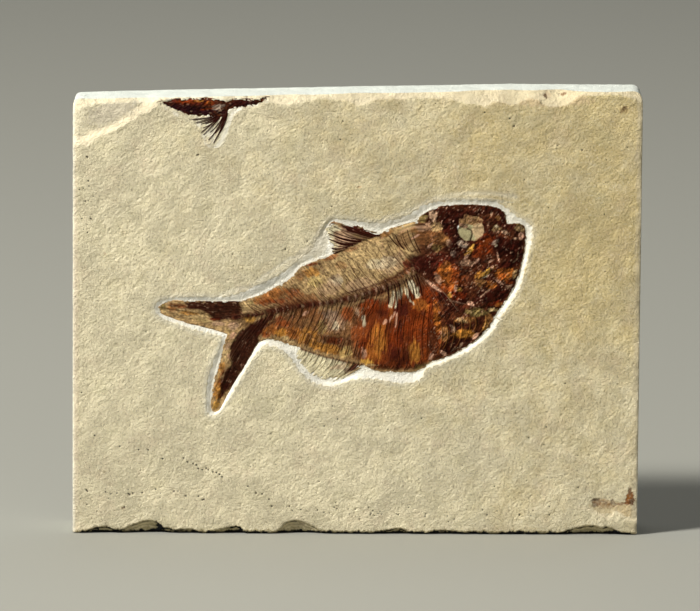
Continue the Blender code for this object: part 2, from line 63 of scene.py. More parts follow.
slabShape = {
    "top": [(-87.2, 139.2), (-72.0, 139.7), (-48.0, 140.3), (-24.0, 140.8), (0.0, 141.4), (30.0, 141.9),
            (48.0, 142.3), (87.2, 142.2)],
    "topLeft": (-89.4, 137.2),
    "topRight": (90.4, 138.8),
    "bottomLeft": (-89.8, 0.0),
    "bottomRight": (89.8, 0.0),
    "rimStep": 0.85,         # spacing of the points round the outline
    "facePitch": 0.68,       # spacing of the points on the face
    "edgePitch": 0.42,       # the same near the broken edges
    "moatPitch": 0.31,       # the same in the hollow round the fish
    "underPitch": 2.2,       # the same under the fish
    "backPitch": 2.9,
    "wallRows": 15,          # rows of points from the face to the back
    "leftWear": 2.2,
    "rightWear": 2.1,
    "lumps": 0.1,            # height of the grain, a millimetre or two across
    "swells": 0.16,          # height of the slow waves in the split face
    "flakeDepth": 0.85,      # thickness of the layer gone from the top left corner
    "chipDepth": 1.9,        # how deep the largest foot chips go
    "footDepth": 1.1,        # how far the foot, the left side and the right side are worn back
    "leftDepth": 0.8,
    "rightDepth": 0.3,
    "ledgeRise": 0.3,
    "pitDepth": 0.3,
}

moatShape = {
    "rim": [(49.7, 103.8), (52.7, 102.0), (55.7, 99.8), (56.0, 95.3), (54.2, 86.3), (52.0, 79.2),
            (47.7, 72.1), (42.7, 64.5), (37.3, 60.0), (30.8, 56.3), (23.3, 53.5), (20.3, 49.6), (13.9, 48.6),
            (5.9, 49.9), (-1.1, 49.7), (-7.1, 47.5), (-14.1, 49.1), (-19.0, 53.9), (-22.5, 58.5),
            (-27.0, 60.5), (-30.0, 59.7), (-35.0, 51.9), (-40.0, 43.5), (-43.4, 38.8), (-45.4, 37.9),
            (-47.2, 39.7), (-47.5, 47.3), (-45.4, 56.1), (-42.6, 63.1), (-49.9, 65.1), (-59.9, 68.6),
            (-63.2, 70.6), (-63.8, 73.3), (-61.9, 75.7), (-51.9, 76.7), (-42.0, 76.7), (-34.5, 79.1),
            (-25.0, 83.6), (-19.0, 88.1), (-14.3, 92.1), (-11.1, 98.3), (-7.6, 101.9), (-0.1, 101.4),
            (7.9, 100.8), (15.8, 103.2), (22.8, 107.0), (32.8, 108.2), (44.7, 107.5)],
    "deep": 1.02,            # depth of the floor under the belly, where the wall faces up
    "shallow": 0.5,          # the same along the back
    "slope": 0.78,           # share of the way in that the wall slopes
    "lip": 0.17,             # how much the floor rises again beside the back
    "pocket": 1.3,           # how far the stone goes down again under the fish
    "edgeDepth": 0.22,       # the same hollow round the second fish
    "edgePocket": 0.8,
}

fishShape = {
    "headTop": [(53.2, 90.3), (53.7, 94.3), (53.6, 98.5), (52.0, 100.5), (48.0, 100.3), (47.2, 103.3),
                (45.2, 105.3), (41.8, 106.1), (35.8, 106.5), (29.8, 106.2), (25.8, 105.7), (20.3, 102.6),
                (19.8, 101.2)],
    "nape": [(19.8, 101.2), (14.8, 99.9), (9.9, 98.3), (7.6, 96.8)],
    "dorsalBase": [(7.6, 96.8), (-0.1, 93.5), (-7.1, 90.4)],
    "dorsalMargin": [(7.6, 96.8), (3.9, 98.4), (-0.1, 99.6), (-6.4, 101.0), (-9.1, 98.9), (-9.6, 97.1),
                     (-8.6, 95.1), (-7.1, 90.4)],
    "rearBack": [(-7.1, 90.4), (-12.1, 88.3), (-17.0, 86.5), (-20.0, 83.2), (-25.0, 80.0), (-30.0, 77.1),
                 (-36.0, 74.7)],
    "upperLeading": [(-36.0, 74.7), (-44.9, 74.6), (-56.9, 74.9), (-60.4, 74.4)],
    "upperTrailing": [(-60.4, 74.4), (-62.1, 72.9), (-61.4, 71.4), (-57.9, 69.8), (-51.9, 67.9),
                      (-45.9, 66.5), (-40.0, 64.7)],
    "lowerTrailing": [(-40.0, 64.7), (-41.5, 60.6), (-43.4, 53.1), (-44.7, 48.4), (-45.4, 42.1),
                      (-44.9, 39.4)],
    "lowerLeading": [(-44.9, 39.4), (-43.1, 40.4), (-40.0, 46.7), (-35.0, 54.9), (-31.0, 62.1)],
    "rearBelly": [(-31.0, 62.1), (-27.5, 62.8), (-24.0, 62.0), (-18.0, 60.0)],
    "analBase": [(-18.0, 60.0), (-9.1, 57.0), (2.4, 54.5)],
    "analMargin": [(-18.0, 60.0), (-19.0, 58.0), (-17.3, 55.0), (-13.1, 51.0), (-7.1, 49.4), (-1.1, 51.5),
                   (2.4, 54.5)],
    "frontBelly": [(2.4, 54.5), (6.4, 52.6), (13.9, 52.2), (20.3, 52.8), (23.3, 55.1)],
    "throat": [(23.3, 55.1), (29.8, 57.5), (36.8, 61.6), (41.8, 66.2), (45.7, 72.7), (50.2, 79.8),
               (52.2, 86.3), (53.2, 90.3)],
    "spine": [(20.8, 86.3), (15.8, 83.3), (11.9, 80.9), (2.9, 77.6), (-7.6, 74.9), (-18.0, 73.5),
              (-30.0, 71.1), (-38.0, 69.9)],
    "rimStep": 0.3,          # spacing of the points round the fish
    "pitch": 0.215,          # spacing of the skin's points
    "clear": 0.12,           # how far those points keep from the outline
    "seed": 81,
    "margin": 0.45,          # how far the skin runs on under the stone
    "backEdge": 0.32,        # depth of the skin's edge along the back
    "bellyEdge": 0.88,       # the same along the belly
    "level": 0.64,           # depth of the skin well inside, before it swells
    "trunkSwell": 0.42,
    "headSwell": 0.5,
    "buried": 1.62,          # depth of the skin's back
    "vertebra": 2.3,         # length of one bone of the spine
}
tailReach = (-34.0, -28.0)   # along x: the tail lobes, then the trunk
rayGrain = [                 # middle, size and turn of the places where the grain follows fin rays
    ((0.0, 96.0), 7.5, -10), ((-6.0, 53.0), 9.0, 38), ((-49.0, 71.5), 13.5, -5),
    ((-38.5, 53.0), 14.0, 64), ((-33.0, 67.5), 6.0, 30),
]
headGrain = 48               # turn of the grain on the head


def curveThrough(points, steps=4, closed=False):
    # a smooth line through the given points
    p = np.array(points, float)
    if closed:
        p = np.vstack([p[-1:], p, p[:2]])
    else:
        p = np.vstack([2 * p[0] - p[1], p, 2 * p[-1] - p[-2]])
    line = []
    for a, b, c, d in zip(p, p[1:], p[2:], p[3:]):
        for t in np.arange(steps) / steps:
            line.append(0.5 * (2 * b + (c - a) * t + (2 * a - 5 * b + 4 * c - d) * t * t
                               + (3 * b - a - 3 * c + d) * t ** 3))
    if not closed:
        line.append(p[-2])
    return np.array(line)


def evenly(line, step, closed=False):
    # the same line with its points a step apart
    line = np.vstack([line, line[:1]]) if closed else np.array(line, float)
    run = np.concatenate([[0.0], np.cumsum(np.hypot(*np.diff(line, axis=0).T))])
    count = max(2, int(round(run[-1] / step)))
    at = np.linspace(0.0, run[-1], count + 1)
    if closed:
        at = at[:-1]
    return np.stack([np.interp(at, run, line[:, 0]), np.interp(at, run, line[:, 1])], 1)


def loopOf(shape, *names):
    # one closed outline from several that each start where the last one ends
    parts = [curveThrough(shape[name], 3)[:-1] for name in names]
    return np.vstack(parts)


def nearLine(line, x, z, closed=False):
    # distance from each place to a line, how far along the line that is, and on which side
    starts, ends = (line, np.roll(line, -1, 0)) if closed else (line[:-1], line[1:])
    gap, along, side = np.full(x.shape, 1e9), np.zeros(x.shape), np.ones(x.shape)
    run = 0.0
    for a, b in zip(starts, ends):
        d = b - a
        size = math.hypot(*d)
        px, pz = x - a[0], z - a[1]
        t = np.clip((px * d[0] + pz * d[1]) / size ** 2, 0.0, 1.0)
        far = np.hypot(px - t * d[0], pz - t * d[1])
        closer = far < gap
        gap[closer] = far[closer]
        along[closer] = run + t[closer] * size
        side[closer] = np.sign(d[0] * pz - d[1] * px)[closer]
        run += size
    return gap, along, side


def inLoop(loop, x, z):
    found = np.zeros(x.shape, bool)
    for a, b in zip(loop, np.roll(loop, -1, 0)):
        if abs(b[1] - a[1]) > 1e-9:
            crosses = (a[1] > z) != (b[1] > z)
            found ^= crosses & (x < (b[0] - a[0]) * (z - a[1]) / (b[1] - a[1]) + a[0])
    return found


def within(loop, x, z):
    # how far inside a closed outline each place is; below 0 outside
    gap = nearLine(loop, x, z, True)[0]
    return np.where(inLoop(loop, x, z), gap, -gap)


def rise(value, low, high):
    t = np.clip((value - low) / (high - low), 0.0, 1.0)
    return t * t * (3 - 2 * t)


def hills(x, z, size, seed, turn=0.0, stretch=1.0):
    # smooth random relief from about -1 to 1; stretch draws its hills out along the turned direction
    lean = np.random.default_rng(seed).uniform(0.0, 2 * math.pi, (64, 64))
    c, s = math.cos(math.radians(turn)), math.sin(math.radians(turn))
    u = (x * c + z * s) / (size * stretch) + 17.31
    v = (z * c - x * s) / size + 5.17
    i, j = np.floor(u).astype(int), np.floor(v).astype(int)
    total = np.zeros(np.shape(u))
    for a in (0, 1):
        for b in (0, 1):
            du, dv = u - i - a, v - j - b
            wu, wv = 1 - np.abs(du), 1 - np.abs(dv)
            weight = (wu * wv) ** 3 * (wu * (6 * wu - 15) + 10) * (wv * (6 * wv - 15) + 10)
            way = lean[(i + a) % 64, (j + b) % 64]
            total += weight * (np.cos(way) * du + np.sin(way) * dv)
    return 1.6 * total


def crumbs(x, z, size, seed):
    # random chips: distance to a chip's border, from 0, and a value from 0 to 1 for each chip
    u, v = x / size + 31.7, z / size + 11.3
    i, j = np.floor(u).astype(int), np.floor(v).astype(int)
    draw = np.random.default_rng(seed).uniform(0.0, 1.0, (3, 96, 96))
    first, second, value = np.full(u.shape, 9.0), np.full(u.shape, 9.0), np.zeros(u.shape)
    for a in (-1, 0, 1):
        for b in (-1, 0, 1):
            m, n = (i + a) % 96, (j + b) % 96
            far = np.hypot(u - i - a - draw[0, m, n], v - j - b - draw[1, m, n])
            closer = far < first
            second = np.where(closer, first, np.minimum(second, far))
            value = np.where(closer, draw[2, m, n], value)
            first = np.where(closer, far, first)
    return second - first, value


def anticlockwise(loop):
    area = np.sum(loop[:, 0] * np.roll(loop[:, 1], -1) - np.roll(loop[:, 0], -1) * loop[:, 1])
    return loop if area > 0 else loop[::-1]


def scatter(low, high, pitch, seed):
    # places in staggered rows, each moved a little
    rows = int((high[1] - low[1]) / (pitch * 0.866)) + 2
    columns = int((high[0] - low[0]) / pitch) + 2
    j, i = np.meshgrid(np.arange(rows), np.arange(columns), indexing="ij")
    shake = np.random.default_rng(seed).uniform(-0.16, 0.16, (2, rows, columns)) * pitch
    x = low[0] + (i + 0.5 * (j % 2)) * pitch + shake[0]
    z = low[1] + j * pitch * 0.866 + shake[1]
    return np.stack([x.ravel(), z.ravel()], 1)


def fill(rim, places):
    # triangles over a closed rim and the places inside it: points, triangles, where each rim point went
    given = np.vstack([rim, places]) if len(places) else rim
    made = delaunay_2d_cdt([Vector(p) for p in given], [], [list(range(len(rim)))], 1, 1e-5)
    points = np.array([tuple(p) for p in made[0]])
    triangles = np.array(made[2])
    home = {}
    for number, sources in enumerate(made[3]):
        for source in sources:
            home[source] = number
    a, b, c = (points[triangles[:, k]] for k in range(3))
    turn = (b[:, 0] - a[:, 0]) * (c[:, 1] - a[:, 1]) - (b[:, 1] - a[:, 1]) * (c[:, 0] - a[:, 0])
    triangles = triangles[np.abs(turn) > 1e-12]
    turn = turn[np.abs(turn) > 1e-12]
    triangles[turn < 0] = triangles[turn < 0][:, ::-1]
    return points, triangles, np.array([home[i] for i in range(len(rim))])


def closedPiece(name, rim, places, depthAt, rows, backPlaces):
    # a closed solid: a relief in front, rows of wall behind its rim, and a flat back
    # rows: a function of the rim and its depths that gives the wall's loops as (outline, depths)
    front, faces, home = fill(rim, places)
    frontDepth = depthAt(front[:, 0], front[:, 1])
    x, y, z = [front[:, 0]], [frontDepth], [front[:, 1]]
    allFaces = [faces]
    last, total = home, len(front)
    for loop, depths in rows(rim, frontDepth[home]):
        here = total + np.arange(len(rim))
        nextLast, nextHere = np.roll(last, -1), np.roll(here, -1)
        allFaces += [np.stack([last, here, nextHere], 1), np.stack([last, nextHere, nextLast], 1)]
        x.append(loop[:, 0])
        y.append(depths)
        z.append(loop[:, 1])
        last, total = here, total + len(rim)
    back, backFaces, backHome = fill(loop, backPlaces)
    renumber = np.full(len(back), -1)
    renumber[backHome] = last
    extra = renumber < 0
    renumber[extra] = total + np.arange(extra.sum())
    x.append(back[extra, 0])
    y.append(np.full(extra.sum(), depths.mean()))
    z.append(back[extra, 1])
    allFaces.append(renumber[backFaces][:, ::-1])
    points = np.stack([np.concatenate(x), faceY + np.concatenate(y), np.concatenate(z)], 1) * mm
    mesh = bpy.data.meshes.new(name)
    mesh.from_pydata(points, [], np.vstack(allFaces))
    mesh.shade_smooth()
    piece = bpy.data.objects.new(name, mesh)
    bpy.context.scene.collection.objects.link(piece)
    return piece


def keepValues(mesh, name, values, rest=0.0):
    # a value for each of the first points, and the same rest value for the others
    attribute = mesh.attributes.new(name, "FLOAT", "POINT")
    full = np.full(len(mesh.vertices), rest, np.float32)
    full[:len(values)] = values
    attribute.data.foreach_set("value", full)


def keepColours(mesh, name, colours, rest):
    attribute = mesh.attributes.new(name, "FLOAT_COLOR", "POINT")
    full = np.tile(np.array(rest, np.float32), (len(mesh.vertices), 1))
    full[:len(colours)] = colours
    attribute.data.foreach_set("color", full.ravel())


class Wire:
    # wraps a socket, so that sums and products of masks add their Math nodes
    def __init__(self, board, socket):
        self.board = board
        self.socket = socket

    def maths(self, operation, a, b=0.0):
        return self.board.node("ShaderNodeMath", {"operation": operation}, {0: a, 1: b})

    def __add__(self, other):
        return self.maths("ADD", self, other)

    def __radd__(self, other):
        return self.maths("ADD", other, self)

    def __sub__(self, other):
        return self.maths("SUBTRACT", self, other)

    def __rsub__(self, other):
        return self.maths("SUBTRACT", other, self)

    def __mul__(self, other):
        return self.maths("MULTIPLY", self, other)

    def __rmul__(self, other):
        return self.maths("MULTIPLY", other, self)

    def __truediv__(self, other):
        return self.maths("DIVIDE", self, other)

    def also(self, name):
        # another output of the same node
        return Wire(self.board, self.socket.node.outputs[name])

    def ramp(self, low, high, start=0.0, end=1.0):
        inputs = {"Value": self, "From Min": low, "From Max": high, "To Min": start, "To Max": end}
        return self.board.node("ShaderNodeMapRange", {"interpolation_type": "SMOOTHSTEP"}, inputs)


class Board:
    # a node tree that is being filled
    def __init__(self, tree):
        self.tree = tree

    def node(self, kind, settings=None, inputs=None, out=0):
        made = self.tree.nodes.new(kind)
        for name, value in (settings or {}).items():
            setattr(made, name, value)
        for key, value in (inputs or {}).items():
            if isinstance(value, Wire):
                self.tree.links.new(value.socket, made.inputs[key])
            else:
                made.inputs[key].default_value = value
        return Wire(self, made.outputs[out]) if len(made.outputs) else made

    def mixed(self, factor, a, b, blend="MIX"):
        settings = {"data_type": "RGBA", "blend_type": blend, "clamp_factor": True}
        return self.node("ShaderNodeMix", settings, {0: factor, 6: a, 7: b}, 2)

    def noise(self, place, size, detail=3.0, roughness=0.55, seed=0.0):
        # noise whose blotches are about that many millimetres across
        shift = (seed, 2 * seed, -seed)
        moved = self.node("ShaderNodeVectorMath", {"operation": "ADD"}, {0: place, 1: shift})
        inputs = {"Vector": moved, "Scale": 1.0 / size, "Detail": detail, "Roughness": roughness}
        return self.node("ShaderNodeTexNoise", {"noise_dimensions": "3D"}, inputs)

    def millimetres(self):
        # the piece's own coordinates in millimetres
        place = self.node("ShaderNodeTexCoord", out="Object")
        return self.node("ShaderNodeVectorMath", {"operation": "SCALE"}, {0: place, "Scale": 1 / mm})


def linear(red, green, blue):
    # a colour given as 0 to 255 screen values, in the linear values that Blender keeps
    return tuple((c / 255 / 12.92) if c < 10.3 else ((c / 255 + 0.055) / 1.055) ** 2.4
                 for c in (red, green, blue))


def newMaterial(name, roughness=0.5, specular=0.5):
    material = bpy.data.materials.new(name)
    material.use_nodes = True
    shader = material.node_tree.nodes["Principled BSDF"]
    shader.inputs["Roughness"].default_value = roughness
    shader.inputs["Specular IOR Level"].default_value = specular
    return material, Board(material.node_tree), shader


def plug(board, wire, shader, name):
    board.tree.links.new(wire.socket, shader.inputs[name])


stoneLook = {
    "cream": (254, 240, 199),
    "tan": (229, 206, 147),
    "flush": (232, 204, 170),
    "moss": (208, 198, 148),
    "fleck": (138, 116, 72),
    "dust": (236, 226, 196),
    "chalk": (247, 241, 222),
    "pit": (62, 46, 28),
    "warm": (246, 228, 188),
    "sawn": (204, 209, 197),
    "olive": (178, 164, 118),
    "shadeBlack": (32, 29, 15),
    "roughness": 0.93,
    "specular": 0.3,
    "lumps": 1.0,           # depths of the relief that is too small for the mesh, in millimetres
    "knobs": 1.2,
    "grain": 0.68,
    "pocks": 0.26,
    "middle": 0.95,          # height about which the relief is flattened in chalk and stains
}


def limestoneMaterial():
    material, board, shader = newMaterial("limestone", stoneLook["roughness"], stoneLook["specular"])
    place = board.millimetres()
    across = board.node("ShaderNodeSeparateXYZ", {}, {0: place})
    names = ("cream", "tan", "flush", "moss", "fleck", "dust", "chalk", "pit")
    colour = {name: (*linear(*stoneLook[name]), 1.0) for name in names}
    blotch = board.noise(place, 34.0, 4.0, 0.6, 3.1)
    mottle = board.noise(place, 4.2, 4.0, 0.65, 7.7)
    speck = board.noise(place, 0.7, 3.0, 0.75, 1.9)
    # tanner towards the right, and paler towards the foot as painted light
    tanAndLight = blotch * 0.9 + mottle * 0.75 + across.ramp(-90.0, 90.0, -0.32, 0.34) - 0.44
    tanAndLight = tanAndLight + across.also("Z").ramp(0.0, 90.0, -0.42, 0.04)
    base = board.mixed(tanAndLight.ramp(0.1, 0.95), colour["cream"], colour["tan"])
    flush = board.noise(place, 7.5, 3.0, 0.6, 2.7)
    base = board.mixed(flush.ramp(0.52, 0.72) * 0.22, base, colour["flush"])
    base = board.mixed(flush.ramp(0.48, 0.28) * 0.22, base, colour["moss"])
    base = board.mixed(speck.ramp(0.5, 0.68) * 0.5, base, colour["fleck"])
    base = board.mixed(speck.ramp(0.46, 0.28) * 0.66, base, colour["dust"])
    chalk = board.node("ShaderNodeAttribute", {"attribute_name": "chalk"}, out="Fac")
    base = board.mixed(chalk * mottle.ramp(0.2, 0.6, 0.75, 1.0), base, colour["chalk"])
    pit = board.node("ShaderNodeAttribute", {"attribute_name": "pit"}, out="Fac")
    base = board.mixed(pit.ramp(0.15, 0.75), base, colour["pit"])
    tint = board.node("ShaderNodeAttribute", {"attribute_name": "tint"}, out="Color")
    base = board.mixed(tint.also("Alpha") * speck.ramp(0.3, 0.6, 0.72, 1.0), base, tint)
    plug(board, base, shader, "Base Color")
    # lumps drawn out along the diagonal, broken by finer grit and small pocks
    slant = {"Vector": place, "Rotation": (0.0, math.radians(-34), 0.0), "Scale": (1.6, 1.0, 1.0)}
    slanted = board.node("ShaderNodeMapping", {"vector_type": "TEXTURE"}, slant)
    rough = board.noise(place, 9.0, 2.0, 0.6, 6.4).ramp(0.3, 0.7, 0.6, 1.3)
    lumps = board.noise(slanted, 1.2, 4.0, 0.66, 9.1)
    knobs = board.noise(place, 0.7, 4.0, 0.75, 4.4)
    fine = board.noise(place, 0.3, 3.0, 0.65, 5.3)
    relief = lumps * stoneLook["lumps"] + (knobs * stoneLook["knobs"] + fine * stoneLook["grain"]) * rough
    pocks = board.node("ShaderNodeTexVoronoi", {"feature": "F1"}, {"Vector": place, "Scale": 0.62})
    sparse = pocks.ramp(0.05, 0.42, 1.0, 0.0) * pocks.also("Color").ramp(0.6, 0.7)
    relief = relief - sparse * stoneLook["pocks"] - stoneLook["middle"]
    relief = relief * chalk.ramp(0.15, 0.8, 1.0, 0.5) * tint.also("Alpha").ramp(0.4, 0.9, 1.0, 0.6)
    bump = board.node("ShaderNodeBump", {}, {"Height": relief, "Distance": mm, "Strength": 1.0})
    plug(board, bump, shader, "Normal")
    return material


footChips = [
    [(-86.5, 0.4), (-84.0, 1.5), (-82.0, 2.1), (-79.0, 2.2), (-76.4, 1.5), (-74.8, 0.9)],
    [(-77.0, 0.8), (-73.5, 1.6), (-70.5, 2.9), (-67.5, 4.0), (-65.5, 4.3), (-63.0, 4.0), (-61.4, 2.9),
     (-60.2, 1.0)],
    [(-61.4, 1.6), (-59.6, 2.1), (-57.2, 1.2), (-54.6, 1.6), (-51.6, 1.5), (-48.6, 0.4)],
    [(-46.2, 0.4), (-43.8, 1.3), (-40.8, 2.1), (-37.8, 2.6), (-36.2, 2.2), (-34.8, 0.5)],
    [(-26.3, 0.3), (-24.8, 1.0), (-23.3, 2.2), (-21.8, 3.8), (-19.8, 4.5), (-18.3, 4.6), (-16.3, 4.0),
     (-14.3, 3.2), (-11.8, 1.7), (-9.5, 0.8), (-7.6, 0.3)],
    [(5.0, 0.3), (7.5, 0.9), (12.5, 1.9), (14.5, 2.1), (17.5, 0.9), (20.0, 0.3)],
    [(23.0, 0.3), (24.0, 0.9), (27.5, 1.4), (30.0, 1.4), (34.0, 0.5), (38.0, 1.0), (40.5, 0.3)],
    [(64.0, 0.3), (66.0, 1.0), (70.0, 2.3), (73.0, 3.0), (76.5, 3.1), (78.6, 2.2), (80.2, 2.9), (82.0, 2.1),
     (84.5, 1.0), (86.5, 0.3)],
]
crestLine = [(-91.0, 134.6), (-88.5, 135.6), (-86.0, 137.4), (-80.0, 138.2), (-66.0, 138.6), (-60.0, 139.6),
             (-31.0, 139.7), (-28.5, 139.1), (-26.0, 138.4), (-22.0, 137.8), (-19.0, 138.3), (-15.0, 139.6),
             (-12.0, 139.9), (-7.0, 139.7), (-3.0, 139.4), (-1.5, 138.7), (0.0, 137.9), (2.0, 137.8),
             (4.0, 138.8), (6.0, 139.8), (20.0, 140.1), (28.0, 140.3), (30.5, 139.6), (33.0, 139.0),
             (36.0, 138.6), (38.5, 138.0), (40.5, 137.4), (43.5, 139.0), (45.5, 139.0), (48.3, 138.2),
             (50.8, 138.4), (52.2, 139.5), (54.4, 140.0), (57.3, 139.7), (58.7, 138.4), (61.6, 137.3),
             (64.5, 137.7), (67.4, 138.6), (68.8, 140.0), (70.6, 141.2), (72.4, 141.5), (74.6, 141.0),
             (78.9, 141.6), (82.5, 141.4), (85.0, 140.8), (87.9, 140.0), (89.7, 139.2), (92.0, 138.0)]
cornerFlake = [(-94.0, 123.4), (-87.4, 124.8), (-84.8, 124.6), (-82.3, 126.8), (-77.3, 129.0), (-74.8, 130.5),
               (-72.3, 131.5), (-69.8, 133.5), (-67.3, 134.9), (-64.8, 135.8), (-62.8, 137.4), (-61.6, 144.0)]
edgeHollow = [(-26.6, 138.7), (-31.6, 137.1), (-36.8, 136.1), (-39.2, 132.7), (-41.8, 125.8), (-44.6, 124.0),
              (-47.8, 125.2), (-50.2, 130.7), (-56.1, 133.7), (-62.1, 136.9), (-65.6, 138.8)]
edgeScrape = [(-36.6, 136.7), (-39.2, 135.1), (-40.6, 130.7), (-42.4, 126.5), (-44.2, 124.3)]
scrapes = [                  # tool marks that stray from the hollow: line, width, depth
    ([(24.8, 108.2), (32.8, 109.7), (42.7, 109.9), (50.7, 108.9)], 0.8, 0.1),
    ([(-43.4, 76.7), (-37.5, 79.1), (-33.5, 79.5)], 0.6, 0.14),
    ([(-31.0, 81.7), (-26.0, 85.2), (-21.0, 88.6), (-17.0, 90.1)], 0.6, 0.16),
    ([(-12.1, 92.9), (-9.6, 99.1), (-6.1, 102.4)], 0.6, 0.1),
    ([(8.9, 101.9), (16.8, 104.2), (22.8, 107.6)], 0.7, 0.1),
]
pitPlaces = [(-54.5, 24.4), (-53.2, 23.2), (-51.4, 22.6), (-50.4, 22.2), (-49.8, 21.1), (-48.5, 20.7),
             (-47.3, 21.2), (-46.6, 20.7), (-45.1, 20.0), (-44.0, 19.8), (-43.0, 19.2), (-42.2, 18.4),
             (-61.1, 24.2), (-74.7, 28.2), (-68.7, 27.1), (-65.7, 27.1), (-82.7, 31.7), (-85.3, 14.0),
             (-85.0, 13.6), (-79.3, 13.4), (-72.0, 12.8), (-71.6, 12.6), (-70.6, 13.0), (-67.6, 13.2),
             (-63.3, 14.3), (-57.5, 13.7), (-53.7, 12.2), (-49.7, 12.1), (-48.0, 11.1), (-34.0, 15.4),
             (-31.4, 13.2), (-29.5, 12.9), (-27.3, 11.2), (-26.4, 9.0), (-20.8, 9.0), (-73.2, 8.5),
             (-85.0, 121.3), (-84.7, 121.1), (-50.2, 121.8), (-49.8, 122.0), (49.8, 131.5), (-5.0, 127.0),
             (40.5, 135.8), (48.4, 133.9), (71.3, 123.9), (-84.5, 113.5), (-85.5, 107.0), (-83.8, 101.5),
             (-84.8, 97.0)]
pitRows = [                  # lines that thin rows of pits follow, how many, and how far they stray
    ([(-86.0, 12.0), (-68.0, 13.5), (-48.0, 13.0)], 10, 1.1),
    ([(-20.0, 8.5), (-6.0, 7.0), (10.0, 8.0)], 22, 1.6),
    ([(12.0, 6.5), (38.0, 8.0), (63.0, 7.0)], 18, 2.2),
    ([(-86.0, 95.0), (-84.0, 110.0), (-85.5, 119.0)], 10, 1.6),
    ([(-40.0, 20.0), (20.0, 28.0), (80.0, 24.0)], 14, 9.0),
    ([(-70.0, 60.0), (-20.0, 110.0), (60.0, 118.0)], 16, 16.0),
    ([(62.0, 40.0), (80.0, 80.0), (70.0, 125.0)], 14, 12.0),
]
stoneTints = [               # place, half length, half width, turn, colour, strength
    (80.4, 9.1, 7.0, 2.5, 0, (212, 184, 130), 0.6), (86.4, 8.2, 3.8, 2.9, 0, (208, 174, 118), 0.6),
    (79.0, 10.2, 4.4, 1.8, -6, (170, 128, 76), 0.7),
    (76.8, 10.7, 1.7, 1.5, 15, (124, 80, 32), 0.9), (76.5, 11.5, 1.5, 0.5, 10, (70, 46, 22), 0.95),
    (80.6, 9.9, 2.4, 0.9, -8, (150, 106, 50), 0.8), (81.9, 10.7, 0.9, 1.2, 0, (96, 58, 24), 0.75),
    (84.7, 10.2, 2.4, 0.55, 8, (124, 80, 38), 0.85), (76.3, 9.7, 0.9, 0.9, 0, (84, 48, 20), 0.75),
    (78.6, 10.9, 0.9, 0.4, 0, (92, 56, 24), 0.75), (79.8, 10.4, 0.5, 0.5, 0, (104, 64, 28), 0.7),
    (87.5, 11.2, 1.95, 1.8, 0, (132, 74, 14), 1.0), (87.5, 12.7, 1.4, 1.7, 0, (132, 76, 18), 1.0),
    (87.4, 14.2, 0.75, 1.5, 0, (112, 66, 22), 1.0), (88.0, 10.8, 1.1, 1.1, 0, (66, 34, 8), 0.7),
    (86.8, 12.2, 0.5, 1.3, 0, (160, 98, 30), 0.65),
    (1.0, 111.8, 0.8, 0.5, 20, (176, 112, 66), 0.7), (-79.3, 90.3, 0.5, 0.5, 0, (176, 112, 66), 0.55),
    (-88.0, 127.0, 0.7, 0.6, 0, (160, 96, 60), 0.5), (-73.6, 8.2, 0.8, 0.6, 0, (120, 84, 50), 0.7),
    (60.0, 140.0, 16.0, 2.6, 0, (232, 200, 158), 0.5), (60.3, 140.9, 1.5, 1.1, 0, (196, 158, 112), 0.8),
    # painted shadow: the first two marks on this line draw the dark left and lower rim of a small crater on
    # the top edge
    (59.6, 140.6, 0.6, 1.2, 30, (84, 54, 28), 1.0), (60.6, 139.9, 1.0, 0.35, 5, (128, 90, 56), 0.85),
    (65.2, 141.1, 1.3, 0.5, 12, (122, 82, 48), 0.95), (84.6, 136.9, 1.9, 1.3, 30, (180, 150, 98), 0.7),
    (84.6, 137.3, 1.0, 0.8, 50, (84, 56, 22), 0.97), (83.6, 136.3, 0.9, 0.45, 20, (98, 68, 30), 0.9),
    (-16.5, 3.0, 0.9, 0.4, -10, (150, 98, 64), 0.5),
    (-61.8, 139.0, 1.6, 0.32, 20, (80, 44, 28), 0.95), (-88.5, 60.0, 1.0, 70.0, 0, (222, 200, 168), 0.5),
    (45.3, 69.6, 1.3, 0.16, -28, (92, 84, 58), 0.9), (-79.6, 19.8, 0.9, 0.2, -55, (130, 108, 74), 0.8),
    (-77.0, 135.5, 9.0, 4.0, 20, (214, 200, 176), 0.55),
]
# painted shade: grey tones on the hollow's wall along the fish's back and left of the tail, where the wall
# faces away from the light, with cream tones where the scraped wall is less white
moatShadeAndTone = [
    (-30.0, 79.7, 9.0, 1.3, 26, (198, 194, 178), 0.55), (-47.9, 76.0, 14.0, 0.7, 0, (200, 198, 184), 0.4),
    (-46.5, 46.5, 0.9, 10.0, -6, (210, 206, 188), 0.35), (-43.7, 58.6, 0.9, 5.0, -14, (204, 198, 176), 0.35),
    (-16.6, 90.1, 5.0, 2.2, 38, (222, 210, 180), 0.7), (11.9, 101.0, 10.0, 1.4, 10, (212, 202, 178), 0.6),
    (37.8, 107.7, 14.0, 0.8, -2, (200, 194, 174), 0.5), (-11.5, 93.9, 2.8, 6.5, -18, (224, 212, 182), 0.7),
]


def oval(x, z, patch):
    # 1 in the middle of a patch, 0 at its edge
    px, pz, half, narrow, turn = patch[:5]
    c, s = math.cos(math.radians(turn)), math.sin(math.radians(turn))
    u = ((x - px) * c + (z - pz) * s) / half
    v = ((z - pz) * c - (x - px) * s) / narrow
    return 1 - np.hypot(u, v)


